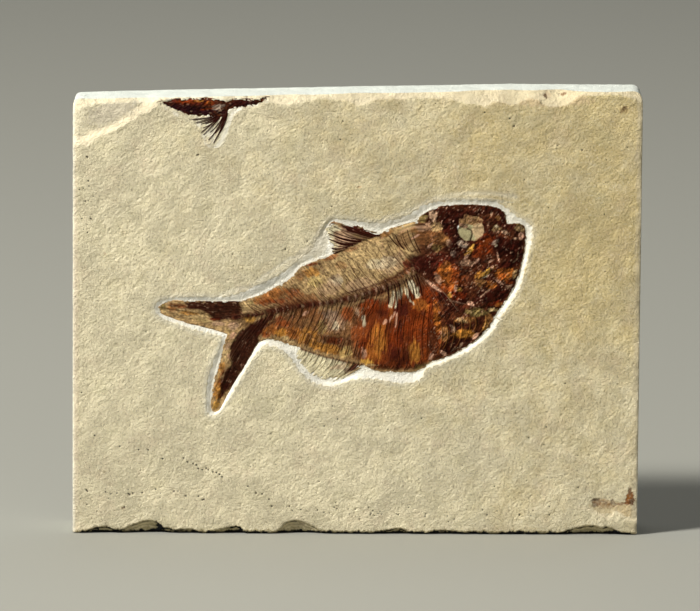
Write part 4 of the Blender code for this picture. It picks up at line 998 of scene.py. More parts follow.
# patches of colour on the whole fish, laid one over the other:
# place, half length, half width, turn, colour, strength
fishStains = [
    # rear trunk and tail root
    (-27.0, 76.8, 6.5, 2.2, 22, "amber", 0.8), (-21.0, 77.6, 4.6, 2.6, 20, "brown", 0.8),
    (-19.0, 77.7, 3.0, 2.0, 0, "brick", 0.45), (-28.0, 74.7, 3.6, 1.2, 5, "rust", 0.7),
    (-23.5, 72.6, 9.0, 2.2, 8, "umber", 0.25), (-24.0, 67.2, 6.0, 2.6, 10, "rust", 0.45),
    (-17.0, 71.5, 5.5, 2.4, 8, "maroon", 0.4), (-20.5, 74.7, 4.0, 1.6, 12, "rust", 0.6),
    (-33.4, 74.5, 1.3, 0.9, 10, "olive", 0.9), (-34.6, 72.7, 2.2, 2.8, 0, "sand", 0.9),
    (-33.4, 69.4, 2.4, 1.5, 0, "gold", 0.85), (-27.2, 65.8, 4.0, 2.6, 10, "amber", 0.6),
    (-28.5, 64.1, 2.0, 1.2, 0, "brick", 0.7), (-23.4, 64.8, 2.3, 2.0, 0, "honey", 0.85),
    (-21.5, 62.9, 3.0, 1.0, -15, "sand", 0.8), (-18.6, 66.8, 3.0, 5.0, 0, "brown", 0.8),
    (-19.5, 64.8, 2.8, 2.6, 0, "amber", 0.6), (-23.0, 68.0, 2.4, 1.2, 0, "brick", 0.6),
    (-15.5, 75.6, 5.0, 2.4, 8, "brown", 0.8), (-16.0, 71.5, 4.0, 2.2, 10, "brown", 0.85),
    (-15.8, 71.3, 1.4, 0.6, 30, "pink", 0.7),
    (-25.4, 72.2, 4.6, 0.8, 2, "pitch", 0.8), (-30.5, 68.7, 4.2, 0.7, 32, "umber", 0.85),
    (-27.6, 67.5, 4.2, 0.5, 30, "pitch", 0.7), (-31.0, 70.7, 3.6, 0.5, 10, "umber", 0.8),
    (-24.0, 75.2, 3.0, 0.9, 15, "rust", 0.7), (-30.2, 66.1, 2.4, 0.6, 30, "pink", 0.5),
    (-21.8, 70.5, 3.0, 1.6, 10, "umber", 0.6), (-24.6, 69.6, 1.8, 0.8, 20, "rust", 0.6),
    # upper flank
    (-2.1, 88.6, 8.0, 3.6, 20, "sand", 0.8), (4.9, 90.4, 6.5, 4.0, 25, "sand", 0.75),
    (6.1, 87.3, 3.8, 2.0, 10, "bone", 0.45), (-4.6, 86.8, 2.2, 1.6, 0, "hazel", 0.6),
    (-12.8, 81.7, 2.8, 2.3, 10, "straw", 0.8), (-13.7, 84.6, 3.0, 2.0, 15, "honey", 0.75),
    (-17.2, 83.3, 2.5, 1.6, 30, "hazel", 0.7), (-9.1, 86.5, 4.0, 1.2, 15, "tan", 0.7),
    (-6.3, 81.9, 3.0, 2.2, 0, "grey", 0.55), (-5.6, 81.5, 2.0, 1.4, 0, "bone", 0.3),
    (-8.1, 79.1, 4.6, 2.4, 10, "buff", 0.5), (0.9, 80.6, 5.5, 2.6, 15, "buff", 0.5),
    (11.4, 87.3, 5.5, 3.6, 25, "buff", 0.45), (9.9, 87.8, 4.0, 2.5, 20, "bone", 0.35),
    (9.5, 96.8, 3.0, 1.3, 20, "hazel", 0.85), (16.0, 99.2, 3.2, 1.6, 10, "sand", 0.65),
    (15.0, 95.2, 3.4, 3.6, 0, "brown", 0.6), (10.4, 94.1, 3.0, 1.6, 20, "tan", 0.6),
    (-13.9, 87.0, 2.6, 0.7, 8, "rust", 0.85), (-8.1, 89.1, 2.8, 1.0, 20, "brick", 0.6),
    (-1.6, 91.8, 3.0, 0.8, 14, "brick", 0.4), (16.3, 86.5, 1.6, 3.0, 0, "brick", 0.75),
    (14.1, 83.9, 2.6, 1.5, 25, "brown", 0.8), (10.4, 81.9, 3.6, 1.6, 20, "brown", 0.7),
    # lower flank
    (-12.1, 70.6, 3.6, 2.6, 0, "brown", 0.75), (-7.9, 70.6, 3.0, 2.6, 0, "grey", 0.55),
    (-6.6, 68.3, 4.5, 3.6, 0, "buff", 0.5), (-6.4, 67.3, 1.3, 1.7, 0, "bone", 0.5),
    (-10.7, 66.8, 1.9, 2.6, -10, "olive", 0.6), (-15.0, 63.8, 4.0, 3.6, 0, "honey", 0.65),
    (-13.6, 66.9, 3.0, 1.8, 0, "hazel", 0.6), (-8.6, 59.9, 8.0, 1.9, -12, "honey", 0.75),
    (-6.7, 62.7, 4.8, 1.8, -4, "umber", 0.8), (-6.7, 62.5, 4.0, 1.3, -4, "rust", 0.5),
    (-3.1, 58.9, 2.6, 2.3, 0, "straw", 0.6), (-2.5, 71.3, 2.2, 2.8, 0, "brick", 0.75),
    (0.9, 65.1, 2.6, 4.4, -10, "brick", 0.6), (4.5, 74.3, 4.6, 2.2, 6, "maroon", 0.75),
    (2.9, 61.7, 2.3, 2.0, 0, "rust", 0.85),
    (5.5, 73.0, 5.2, 2.9, 0, "rust", 0.95), (3.3, 73.9, 2.0, 1.4, 0, "brick", 0.6),
    (7.9, 71.5, 2.5, 2.0, 0, "maroon", 0.7), (6.9, 77.9, 3.8, 1.4, 10, "brown", 0.75),
    (2.5, 69.3, 0.9, 2.9, 8, "bone", 0.75), (0.5, 71.7, 0.8, 1.8, 10, "buff", 0.7),
    (7.7, 63.3, 3.6, 5.4, 0, "amber", 0.75), (5.5, 58.5, 3.2, 3.8, 0, "amber", 0.75),
    (7.9, 61.3, 2.0, 4.0, 0, "honey", 0.4), (23.8, 67.3, 5.0, 9.0, 5, "brick", 0.4),
    (18.8, 67.3, 1.2, 7.0, 3, "amber", 0.45), (22.4, 70.3, 0.9, 6.0, 4, "amber", 0.5),
    (11.3, 70.3, 0.8, 4.0, 0, "amber", 0.4), (15.4, 64.9, 0.9, 5.0, 2, "brick", 0.5),
    (2.7, 58.6, 0.9, 2.2, 5, "pink", 0.6),
    (3.9, 55.5, 2.6, 1.0, -5, "gold", 0.9), (5.1, 54.6, 2.0, 0.5, 0, "sand", 0.7),
    # belly
    (12.9, 63.3, 3.4, 5.0, 0, "rust", 0.95), (12.5, 57.3, 2.8, 3.6, 0, "maroon", 0.9),
    (14.4, 66.8, 1.6, 8.0, 2, "maroon", 0.75), (17.4, 61.3, 1.2, 6.0, 0, "maroon", 0.5),
    (14.1, 55.7, 3.0, 2.4, 0, "pitch", 0.75), (19.8, 68.3, 6.5, 9.0, 0, "rust", 0.95),
    (20.8, 68.3, 3.5, 7.0, 0, "brick", 0.35), (23.4, 76.7, 4.0, 3.6, 0, "rust", 0.9),
    (20.4, 74.1, 3.0, 2.6, 0, "amber", 0.7), (15.2, 72.9, 2.6, 3.2, 0, "maroon", 0.9),
    (18.8, 58.7, 2.8, 3.8, 0, "honey", 0.6), (22.2, 58.5, 2.0, 3.6, 0, "brick", 0.7),
    (16.0, 57.3, 1.5, 3.6, 0, "pitch", 0.8), (24.6, 60.9, 2.2, 4.0, 0, "umber", 0.75),
    (25.0, 57.3, 3.0, 1.6, 10, "umber", 0.8), (19.8, 54.1, 1.6, 1.0, 20, "olive", 0.7),
    (25.8, 70.3, 1.5, 5.8, 4, "amber", 0.8), (28.0, 67.3, 1.2, 6.5, 8, "umber", 0.75),
    (28.4, 64.7, 1.8, 3.0, 0, "hazel", 0.7), (24.2, 64.9, 1.6, 3.0, 0, "umber", 0.5),
    # pale gaps between the first ribs
    (18.2, 79.5, 3.6, 1.5, -56, "bone", 0.95), (16.5, 77.6, 2.9, 0.7, -66, "bone", 0.8),
    (17.4, 75.3, 1.6, 0.5, -50, "bone", 0.6), (14.4, 77.9, 2.6, 0.6, 84, "bone", 0.8),
    (13.1, 76.7, 2.6, 0.5, 80, "bone", 0.7), (11.7, 76.2, 3.0, 0.9, 78, "bone", 0.75),
    (11.4, 69.8, 1.8, 0.5, 60, "pink", 0.6), (12.9, 68.7, 2.2, 0.5, 88, "pink", 0.6),
    (16.6, 84.6, 2.2, 0.4, -60, "pink", 0.6), (9.7, 68.8, 1.4, 0.6, 30, "pink", 0.55),
    # throat
    (33.4, 72.9, 4.4, 2.6, -8, "umber", 0.85), (32.8, 72.9, 3.0, 1.6, 0, "maroon", 0.5),
    (36.4, 74.6, 1.7, 0.8, -32, "pink", 0.75), (38.4, 71.8, 4.0, 1.8, 0, "olive", 0.85),
    (34.8, 69.3, 4.0, 1.3, 8, "hazel", 0.75), (33.8, 69.1, 2.2, 0.7, -20, "sand", 0.5),
    (40.0, 69.5, 2.4, 1.3, 10, "umber", 0.7), (42.2, 69.6, 1.8, 1.6, 50, "hazel", 0.8),
    (43.3, 72.6, 2.0, 0.8, 0, "sand", 0.85), (43.8, 70.9, 1.3, 0.6, -35, "black", 0.8),
    (36.0, 67.1, 5.2, 1.3, -8, "umber", 0.85), (34.4, 64.7, 4.2, 1.8, 0, "honey", 0.9),
    (38.0, 64.0, 1.7, 0.9, 45, "pink", 0.7), (41.2, 67.3, 1.0, 1.9, -20, "gold", 0.6),
    (30.8, 66.8, 1.8, 0.7, -50, "buff", 0.7), (32.6, 61.7, 5.0, 1.7, 25, "pitch", 0.9),
    (29.2, 59.9, 3.4, 2.0, 20, "pitch", 0.9), (28.0, 58.5, 1.7, 0.8, -35, "pink", 0.8),
    (31.0, 59.8, 1.3, 0.3, 50, "buff", 0.7), (33.4, 61.0, 1.2, 0.6, 60, "buff", 0.7),
    (24.0, 57.5, 0.8, 1.4, -30, "pink", 0.6),
    # shoulder and gill plate
    (20.4, 87.1, 5.4, 3.6, 0, "maroon", 0.95), (25.8, 88.9, 4.8, 2.5, 10, "maroon", 0.85),
    (23.4, 84.7, 3.4, 2.6, 0, "pitch", 0.75), (18.0, 89.2, 2.6, 1.3, -10, "black", 0.7),
    (27.2, 87.1, 1.2, 1.2, 0, "red", 0.8), (29.4, 82.3, 5.2, 5.0, 0, "brick", 0.95),
    (28.2, 83.7, 2.8, 3.6, 0, "amber", 0.7), (31.4, 80.5, 2.2, 1.6, 0, "amber", 0.5),
    (28.6, 86.5, 1.9, 2.0, 0, "amber", 0.7), (33.2, 81.9, 1.9, 2.4, 0, "brick", 0.8),
    (26.1, 82.3, 1.2, 2.4, 20, "buff", 0.5),
    (24.7, 80.1, 3.8, 0.6, -38, "pink", 0.85), (32.8, 79.1, 1.2, 1.0, 0, "gold", 0.8),
    (31.7, 79.5, 0.6, 1.4, 0, "pink", 0.7), (32.6, 76.9, 3.0, 2.1, 0, "red", 0.75),
    (32.6, 76.9, 2.4, 1.7, 0, "rust", 0.6), (29.8, 77.3, 0.8, 1.4, 0, "gold", 0.5),
    (27.8, 76.7, 1.3, 2.2, 30, "maroon", 0.8), (32.4, 75.0, 2.6, 0.4, -12, "pink", 0.6),
    # cheek and jaws
    (36.2, 80.7, 3.6, 3.0, 0, "umber", 0.85), (36.8, 85.7, 4.6, 3.0, 0, "umber", 0.8),
    (35.0, 87.6, 3.4, 1.2, 0, "buff", 0.4), (39.4, 81.7, 2.0, 2.0, 0, "hazel", 0.75),
    (42.9, 80.5, 2.2, 1.6, 0, "amber", 0.7), (47.2, 83.9, 4.2, 2.6, 5, "amber", 0.9),
    (46.2, 83.3, 1.8, 1.2, 0, "brick", 0.6), (45.4, 81.6, 1.9, 0.5, -30, "pink", 0.8),
    (48.4, 81.6, 1.6, 1.0, 0, "brick", 0.7), (50.3, 83.9, 0.8, 2.2, -20, "sand", 0.7),
    (48.3, 79.9, 1.9, 0.5, 25, "buff", 0.7), (44.1, 77.5, 6.8, 2.3, 18, "black", 0.95),
    (38.6, 75.7, 1.6, 1.4, 40, "pitch", 0.9), (41.1, 78.1, 2.4, 0.3, 38, "buff", 0.5),
    (44.1, 74.6, 3.4, 1.0, 12, "red", 0.85), (45.2, 74.2, 1.6, 0.8, 20, "amber", 0.85),
    (47.3, 76.9, 1.4, 1.0, 40, "maroon", 0.8), (47.9, 87.1, 4.8, 1.2, 5, "maroon", 0.9),
    (40.8, 94.7, 4.0, 2.8, 0, "rust", 0.85), (39.8, 91.5, 4.2, 2.8, 20, "rust", 0.8),
    (41.4, 94.5, 2.2, 1.2, 40, "brick", 0.6), (42.4, 89.1, 3.0, 2.0, 0, "umber", 0.75),
    (38.4, 88.3, 1.3, 0.6, 60, "pink", 0.6), (42.6, 88.3, 0.9, 0.5, 30, "pink", 0.6),
    (39.2, 83.7, 2.0, 1.2, 30, "honey", 0.7), (41.6, 84.8, 2.9, 0.9, 40, "gold", 0.95),
    (43.0, 86.0, 1.1, 0.5, 60, "pink", 0.9), (41.0, 83.3, 1.8, 0.35, 32, "bone", 0.6),
    (47.5, 92.9, 5.6, 3.8, 0, "black", 0.97), (49.9, 89.6, 3.4, 3.2, 0, "black", 0.85),
    (45.0, 89.8, 0.35, 2.2, 12, "pink", 0.6), (51.3, 90.3, 0.3, 1.6, -8, "buff", 0.7),
    (50.3, 88.3, 1.5, 0.4, 45, "buff", 0.6), (44.3, 94.5, 1.6, 0.8, 35, "grey", 0.7),
    (44.5, 93.3, 0.7, 0.35, 40, "bone", 0.8), (49.3, 96.5, 3.4, 1.6, 0, "umber", 0.8),
    (52.3, 96.3, 1.0, 1.5, 0, "pink", 0.8), (50.5, 95.5, 1.0, 0.5, 20, "buff", 0.6),
    (52.3, 93.6, 1.0, 1.3, 0, "pitch", 0.8), (48.9, 99.5, 2.6, 1.4, 0, "pitch", 0.95),
    (51.9, 98.5, 1.9, 1.2, -10, "tan", 0.9), (51.7, 99.9, 1.2, 0.7, -10, "olive", 0.6),
    (47.1, 97.5, 1.3, 0.8, -30, "buff", 0.85), (44.5, 98.9, 1.9, 1.3, 0, "tan", 0.7),
    (44.4, 99.3, 0.9, 0.6, 0, "bone", 0.5),
    # skull, nape and round the eye
    (23.3, 96.1, 6.5, 4.0, 0, "brown", 0.85), (27.3, 94.7, 2.6, 2.6, 0, "hazel", 0.6),
    (21.8, 98.9, 4.0, 1.4, 10, "buff", 0.45), (18.4, 98.0, 1.6, 1.2, 0, "hazel", 0.7),
    (18.8, 96.0, 1.8, 0.4, 28, "pink", 0.85), (23.4, 93.1, 1.5, 0.5, 48, "pink", 0.8),
    (25.4, 92.5, 2.2, 1.5, 0, "olive", 0.5), (29.6, 93.8, 1.1, 1.5, 0, "buff", 0.6),
    (33.8, 104.5, 15.0, 2.2, 1, "pitch", 0.95), (29.8, 101.0, 4.6, 5.2, 0, "black", 0.95),
    (29.0, 98.1, 1.8, 2.2, 0, "maroon", 0.7), (34.8, 105.3, 12.0, 0.9, 0, "umber", 0.5),
    (45.9, 101.9, 1.9, 3.6, 0, "pitch", 0.95), (45.1, 102.1, 1.0, 1.2, 0, "hazel", 0.7),
    (42.7, 102.5, 1.0, 2.4, 10, "umber", 0.8), (42.8, 103.5, 0.4, 1.2, -5, "buff", 0.6),
    (22.0, 103.6, 3.2, 1.2, 32, "pitch", 0.85), (21.4, 101.8, 1.8, 1.3, 20, "olive", 0.75),
    (24.4, 102.9, 1.5, 2.5, 10, "buff", 0.9), (25.6, 99.3, 2.2, 1.9, 0, "tan", 0.8),
    (31.4, 93.2, 2.5, 3.8, 0, "pitch", 0.9), (31.0, 90.5, 1.2, 1.2, 0, "grey", 0.5),
    (33.8, 93.7, 2.2, 1.3, -18, "grey", 0.9), (34.4, 93.8, 1.2, 0.6, -18, "buff", 0.6),
    (33.0, 90.3, 2.4, 1.5, 0, "pitch", 0.9), (36.0, 91.7, 2.8, 1.0, 58, "gold", 0.85),
    (35.0, 89.6, 1.7, 0.6, 48, "pink", 0.85), (36.8, 93.9, 2.4, 0.4, 42, "black", 0.9),
    (36.4, 91.9, 1.0, 0.5, 20, "gold", 0.8),
]
eyeShape = {
    "centre": (36.3, 98.9), "radius": 4.35,
    "stains": [(36.2, 98.7, 5.4, 5.4, 0, (158, 120, 78), 1.0),
               (35.2, 97.3, 4.6, 3.2, 0, (164, 154, 114), 1.0),
               (38.8, 97.9, 2.3, 2.9, 10, (200, 170, 128), 0.9),
               (37.4, 102.4, 4.8, 2.2, -6, (164, 126, 84), 0.95),
               (40.4, 101.9, 1.9, 1.5, 0, (182, 138, 96), 0.8),
               (38.2, 102.9, 2.4, 0.9, 0, (172, 138, 96), 0.7),
               (33.8, 99.6, 1.9, 0.9, -15, (128, 96, 74), 0.85),
               (39.2, 100.9, 1.0, 0.5, 0, (74, 40, 24), 0.8),
               (37.0, 101.1, 1.5, 0.4, 25, (82, 50, 30), 0.8), (34.0, 102.5, 1.6, 0.7, 40, (84, 52, 32), 0.7),
               (38.4, 104.2, 2.0, 0.5, -10, (78, 46, 28), 0.75),
               (36.2, 102.7, 1.0, 0.4, -30, (86, 56, 34), 0.7),
               (32.3, 99.2, 0.35, 1.4, -12, (206, 208, 196), 0.95),
               (36.0, 101.3, 1.1, 0.9, 0, (112, 84, 50), 0.7)],
    "crack": [(35.4, 98.5), (36.6, 97.9), (36.8, 96.5), (36.2, 94.8)],
}
darkAreas = [                # outlines of wholly dark bone: front of the fin, upper tail lobe, lower lobe
    ([(-4.9, 99.3), (-1.1, 99.9), (2.4, 99.0), (4.9, 98.0), (8.1, 97.2), (7.8, 95.8), (3.9, 95.9),
      (0.9, 96.3), (-2.6, 97.3)], "maroon"),
    ([(-54.4, 74.7), (-46.9, 75.5), (-36.6, 75.7), (-35.6, 72.6), (-36.2, 69.7), (-38.5, 68.8),
      (-42.9, 68.4), (-45.5, 69.0), (-47.3, 71.0), (-49.9, 72.0), (-53.4, 72.7)], "black"),
    ([(-29.8, 64.9), (-28.0, 67.5), (-25.0, 70.4), (-26.0, 71.6), (-30.0, 69.7), (-33.0, 68.1),
      (-35.6, 66.3), (-37.8, 63.9), (-39.9, 61.1), (-39.9, 57.5), (-39.6, 55.3), (-41.4, 52.7),
      (-42.8, 50.2), (-43.3, 47.8), (-42.8, 43.8), (-39.6, 46.2), (-36.4, 51.2), (-33.4, 55.7),
      (-30.2, 61.9)], "black"),
]
tailStains = [
    (-56.9, 72.4, 5.0, 2.4, 0, "tan", 0.75), (-56.9, 73.8, 3.8, 0.7, 0, "brown", 0.85),
    (-56.5, 73.5, 2.6, 0.4, 0, "umber", 0.7), (-58.5, 72.7, 2.2, 0.6, 0, "amber", 0.6),
    (-54.9, 73.1, 1.8, 0.5, 5, "rust", 0.7), (-57.9, 72.0, 2.4, 0.5, 0, "brick", 0.4),
    (-49.9, 69.9, 8.5, 1.4, -14, "sand", 0.7), (-52.9, 71.1, 4.0, 0.8, -6, "honey", 0.7),
    (-48.5, 68.7, 4.0, 0.7, -14, "olive", 0.5), (-44.4, 69.3, 3.0, 0.7, 0, "red", 0.9),
    (-43.7, 67.7, 2.6, 0.8, 0, "buff", 0.8), (-61.1, 73.1, 1.1, 1.5, 0, "olive", 0.8),
    (-60.1, 71.7, 1.5, 0.8, 0, "sand", 0.7), (-38.6, 67.1, 2.6, 1.5, 28, "buff", 0.8),
    (-40.2, 65.7, 1.1, 1.1, 0, "olive", 0.6), (-38.8, 64.1, 1.8, 0.9, 50, "pink", 0.6),
    (-41.3, 57.1, 3.6, 1.5, 74, "sand", 0.9), (-42.5, 53.1, 3.2, 1.2, 76, "honey", 0.75),
    (-40.2, 57.5, 1.2, 0.6, -60, "pink", 0.6), (-43.1, 50.8, 2.4, 1.0, 82, "sand", 0.6),
    (-43.5, 46.5, 4.4, 1.5, 84, "honey", 0.85), (-42.9, 49.0, 1.6, 0.8, 80, "brick", 0.6),
    (-44.3, 41.6, 1.5, 1.1, 70, "gold", 0.75), (-42.6, 44.7, 1.5, 0.8, 60, "rust", 0.7),
    (-41.0, 47.5, 1.6, 0.8, 60, "maroon", 0.8), (-41.9, 52.1, 1.6, 0.6, 50, "rust", 0.6),
    (-45.9, 73.0, 8.0, 0.5, 0, "umber", 0.5), (-34.6, 60.1, 4.0, 1.2, 60, "umber", 0.25),
    (-40.4, 60.7, 1.8, 0.8, 60, "buff", 0.7),
]
finStains = [
    (1.7, 97.2, 6.8, 1.5, -15, "pitch", 0.85), (-1.3, 98.6, 4.5, 1.0, -12, "umber", 0.7),
    (-4.1, 96.0, 6.0, 4.2, -6, "buff", 0.85), (-2.6, 94.0, 6.0, 2.6, 10, "pink", 0.35),
    (-7.5, 98.6, 3.0, 1.5, 0, "matrix", 0.9),
    (-8.5, 95.8, 2.2, 4.0, 0, "matrix", 0.9), (-6.9, 92.5, 2.0, 2.4, 0, "matrix", 0.7),
    (-7.1, 100.4, 1.6, 0.5, 25, "umber", 0.6), (-3.1, 94.8, 5.0, 2.0, -6, "buff", 0.5),
    (-4.6, 91.7, 3.6, 1.3, 0, "buff", 0.4), (0.7, 94.0, 3.6, 1.0, 12, "hazel", 0.4),
    (-12.1, 55.3, 11.0, 7.0, -14, "matrix", 1.0), (-6.1, 52.3, 7.0, 4.0, 10, "matrix", 1.0),
    (-5.1, 53.9, 3.4, 1.2, 10, "buff", 0.55), (-1.3, 53.5, 3.6, 1.2, 32, "umber", 0.8),
    (-0.3, 54.1, 2.6, 0.9, 38, "maroon", 0.85), (-2.7, 55.5, 2.4, 0.8, 10, "grey", 0.5),
    (-13.6, 58.9, 5.0, 0.6, -14, "buff", 0.9), (-6.6, 57.0, 3.6, 0.5, -10, "pink", 0.7),
    (-4.9, 51.1, 2.6, 0.8, 10, "olive", 0.4),
]


def painter(colour):
    # gives a function that lays a tone, named in the palette or as screen values, over the colours
    def lay(tone, weight):
        tone = np.array(linear(*(palette[tone] if isinstance(tone, str) else tone)))
        colour[:] += (tone - colour) * np.clip(weight, 0.0, 1.0)[:, None]

    return lay


def layPatches(lay, patches, x, z, ragged, mask=1.0, spread=1.3, soft=0.55):
    for patch in patches:
        lay(patch[5], rise(oval(x, z, patch) * spread + ragged, 0.0, soft) * patch[6] * mask)


def skinPlaces(x, z):
    # where each place is on the fish: inside its outline and trunk, beside its spine, in its head
    skin = SimpleNamespace(x=x, z=z)
    skin.inside, skin.looks = besideFish(x, z)
    skin.trunk = within(anticlockwise(trunkOutline()), x, z)
    skin.offTrunk = 1 - rise(skin.trunk, -0.4, 0.4)
    skin.gap, skin.along, side = nearLine(curveThrough(fishShape["spine"]), x, z)
    skin.above = -side * skin.gap        # the spine runs from head to tail, so its left is below
    skin.beads = np.cos(skin.along * 2 * math.pi / fishShape["vertebra"])
    skin.head = rise(x, 17.0, 27.0) * rise(skin.trunk, -0.5, 1.0)
    return skin


def grainZones(skin):
    # each zone's weight and its two directions, across and along its ribs, spines or rays
    x, z, head, trunk = skin.x, skin.z, skin.head, skin.trunk
    upper = rise(skin.above, -0.6, 0.6)
    lean = np.interp(skin.along, [0.0, 12.0, 30.0, 62.0], [0.2, 0.42, 0.52, 0.6]) * upper \
        + np.interp(skin.along, [0.0, 12.0, 30.0, 62.0], [0.85, 0.62, 0.5, 0.5]) * (1 - upper)
    across = skin.along - lean * skin.gap
    zones = [(np.clip(trunk + 0.3, 0.0, 1.0) * (1 - head), across, skin.gap)]
    for (cx, cz), size, turn in rayGrain:
        c, s = math.cos(math.radians(turn)), math.sin(math.radians(turn))
        weight = np.clip(1.2 - np.hypot(x - cx, z - cz) / size, 0, 1) * np.clip(0.6 - trunk, 0.0, 1.0)
        zones.append((weight, (z - cz) * c - (x - cx) * s, (x - cx) * c + (z - cz) * s))
    c, s = math.cos(math.radians(headGrain)), math.sin(math.radians(headGrain))
    zones.append((head + 0.02, z * c - x * s, x * c + z * s))
    return zones


def addGrain(skin):
    # grain and flakes that follow the bones
    zones = grainZones(skin)
    total = sum(weight for weight, a, b in zones)
    skin.fine = sum(weight * hills(b, a, 0.42, 101, 0, 9.0) for weight, a, b in zones) / total
    skin.broad = sum(weight * hills(b, a, 0.95, 102, 0, 6.0) for weight, a, b in zones) / total
    best = np.argmax([weight for weight, a, b in zones], 0)
    skin.u = np.choose(best, [a for weight, a, b in zones])
    skin.v = np.choose(best, [b for weight, a, b in zones])
    skin.crumb, skin.chip = crumbs(skin.v / 2.0, skin.u, 1.05, 103)
    skin.grit, skin.speck = crumbs(skin.v / 2.0, skin.u, 0.34, 104)


def swellBody(skin):
    shape, x, z, head = fishShape, skin.x, skin.z, skin.head
    swell = 1 - (1 - np.clip(skin.trunk / 9.0, 0.0, 1.0)) ** 2
    depth = shape["backEdge"] + (shape["bellyEdge"] - shape["backEdge"]) * skin.looks
    depth = depth + (shape["level"] - depth) * rise(skin.inside, 0.0, 5.5)
    depth = depth - swell * (shape["trunkSwell"] * (1 - head) + shape["headSwell"] * head)
    depth -= 0.24 * np.exp(-(skin.gap / 0.85) ** 2) * (1 - head) * (0.7 + 0.3 * skin.beads)
    depth += 0.07 * skin.fine + 0.05 * skin.broad
    depth += hills(x, z, 3.4, 105) * 0.09 + hills(x, z, 1.2, 106) * 0.05
    depth += head * ((skin.chip - 0.5) * 0.2 - 0.05) * rise(skin.crumb, 0.0, 0.25)
    depth += (0.02 + 0.05 * head) * (skin.speck - 0.5)
    skin.depth = depth


def paintBody(skin):
    # the trunk's and the head's broad patches
    x, z, head, trunk, above, lay = skin.x, skin.z, skin.head, skin.trunk, skin.above, skin.lay
    belly = rise(x, -1.0, 5.0) * (1 - head) * rise(-above, 3.0, 6.0)
    flaky = ((skin.chip - 0.5) * 0.3 + (skin.speck - 0.5) * 0.2) * (1 - belly * 0.7)
    ragged = hills(x, z, 1.5, 111) * 0.22 + flaky
    ragged += (skin.fine * 0.6 + skin.broad * 0.9) * (0.2 + 0.8 * belly) * (1 - head)
    lay("sand", rise(trunk, 0.5, 3.0) * rise(above, 1.0, 4.0) * rise(x, -20.0, -12.0) * 0.6)
    lay("brown", rise(trunk, 0.0, 3.0) * rise(-above, 0.5, 4.0) * 0.8)
    lay("rust", rise(trunk, 0.0, 2.0) * rise(-above, 3.0, 6.0) * rise(x, -4.0, 5.0) * 0.9)
    lay("umber", rise(x, 16.0, 21.0) * rise(z + 0.4 * x, 84.0, 92.0) * 0.95)
    lay("umber", rise(x, 24.0, 29.0) * 0.9)
    lay("pitch", head * rise(hills(x, z, 2.6, 112, headGrain, 1.8), -0.3, 0.15) * 0.85)
    layPatches(lay, fishStains, x, z, ragged)
    skin.belly, skin.ragged = belly, ragged


def paintFins(skin):
    x, z, trunk, ragged, lay = skin.x, skin.z, skin.trunk, skin.ragged, skin.lay
    lay("tan", skin.offTrunk)
    layPatches(lay, tailStains, x, z, ragged, rise(-x, 30.0, 34.0))
    layPatches(lay, finStains, x, z, ragged, skin.offTrunk)
    onFin = rise(-x, -3.0, -1.0) * rise(x, -19.0, -17.0) * rise(z, 63.0, 61.0)
    lay("umber", np.exp(-((trunk + 0.1 * skin.broad) / 0.4) ** 2) * onFin * (0.75 + 0.5 * skin.fine))
    for outline, tone in darkAreas:
        area = within(np.array(outline), x, z)
        lay(tone, rise(area + ragged * 1.6 + skin.fine * 0.4, -0.2, 0.6) * 0.97)


def paintSpine(skin):
    # a dark line with paler beads, between two thinner lines
    gap, along, head, fine, broad, lay = skin.gap, skin.along, skin.head, skin.fine, skin.broad, skin.lay
    dark = np.exp(-((gap - 0.1) / (1.35 + 0.35 * broad)) ** 2) * (1 - head) * rise(along, 3.0, 8.0)
    lay("umber", dark * (0.8 + 0.5 * broad))
    beads = np.exp(-((gap - 0.2) / 0.5) ** 2) * rise(skin.beads, 0.3, 0.9)
    lay("pitch", np.exp(-(gap / 0.95) ** 2) * rise(along, 5.0, 13.0) * (0.75 + 0.6 * fine) * (1 - head))
    lay("buff", 0.45 * beads * rise(along, 8.0, 14.0) * (1 - rise(along, 30.0, 40.0)) * (1 - head))
    for shift in (1.75, -1.35):
        line = np.exp(-((skin.above - shift) / 0.42) ** 2) * rise(32.0 - along, 0.0, 8.0) * (1 - head)
        lay("pitch", line * (0.7 + 0.7 * fine))


def makeEye(skin):
    # a pale disc with a crack through its lower half
    x, z, lay = skin.x, skin.z, skin.lay
    cx, cz = eyeShape["centre"]
    bulge = hills(x, z, 1.6, 121) * (0.3 + 0.5 * rise(z, 98.5, 100.5))
    disc = eyeShape["radius"] + bulge - np.hypot(x - cx, z - cz)
    eye = rise(disc, -0.1, 0.25)
    plain = skin.colour.copy()
    layPatches(lay, eyeShape["stains"], x, z, skin.ragged * 0.7, spread=1.6, soft=0.35)
    skin.colour[:] = plain + (skin.colour - plain) * eye[:, None]
    lower = eye * rise(cz - z + hills(x, z, 1.1, 122) * 0.6, -0.3, 0.5)
    crack = np.exp(-(nearLine(curveThrough(eyeShape["crack"]), x, z)[0] / 0.24) ** 2)
    lay("black", crack * 0.9)
    lay("black", np.exp(-((disc + 0.25) / 0.35) ** 2) * 0.55 * rise(cz + 1.5 - z, -1.0, 1.0))
    level = fishShape["level"] - fishShape["headSwell"] * 0.92
    skin.depth = skin.depth * (1 - lower) + (level + 0.1 - 0.06 * rise(disc, 0.3, 3.0)) * lower
    skin.depth += crack * 0.25 + 0.12 * np.exp(-((disc + 0.15) / 0.3) ** 2)
    skin.eye, skin.lower = eye, lower


def raisePlates(skin):
    # plates of the head and gill cover, each a little above the next
    x, z = skin.x, skin.z
    for outline, height in headPlates:
        plate = within(curveThrough(outline, 3, True), x, z) + hills(x, z, 1.1, 123) * 0.25
        skin.depth -= height * rise(plate, 0.0, 0.45) * (1 - 0.5 * rise(plate, 0.5, 3.0))
        skin.lay("black", 0.5 * np.exp(-((plate + 0.12) / 0.22) ** 2) * (1 - skin.eye))


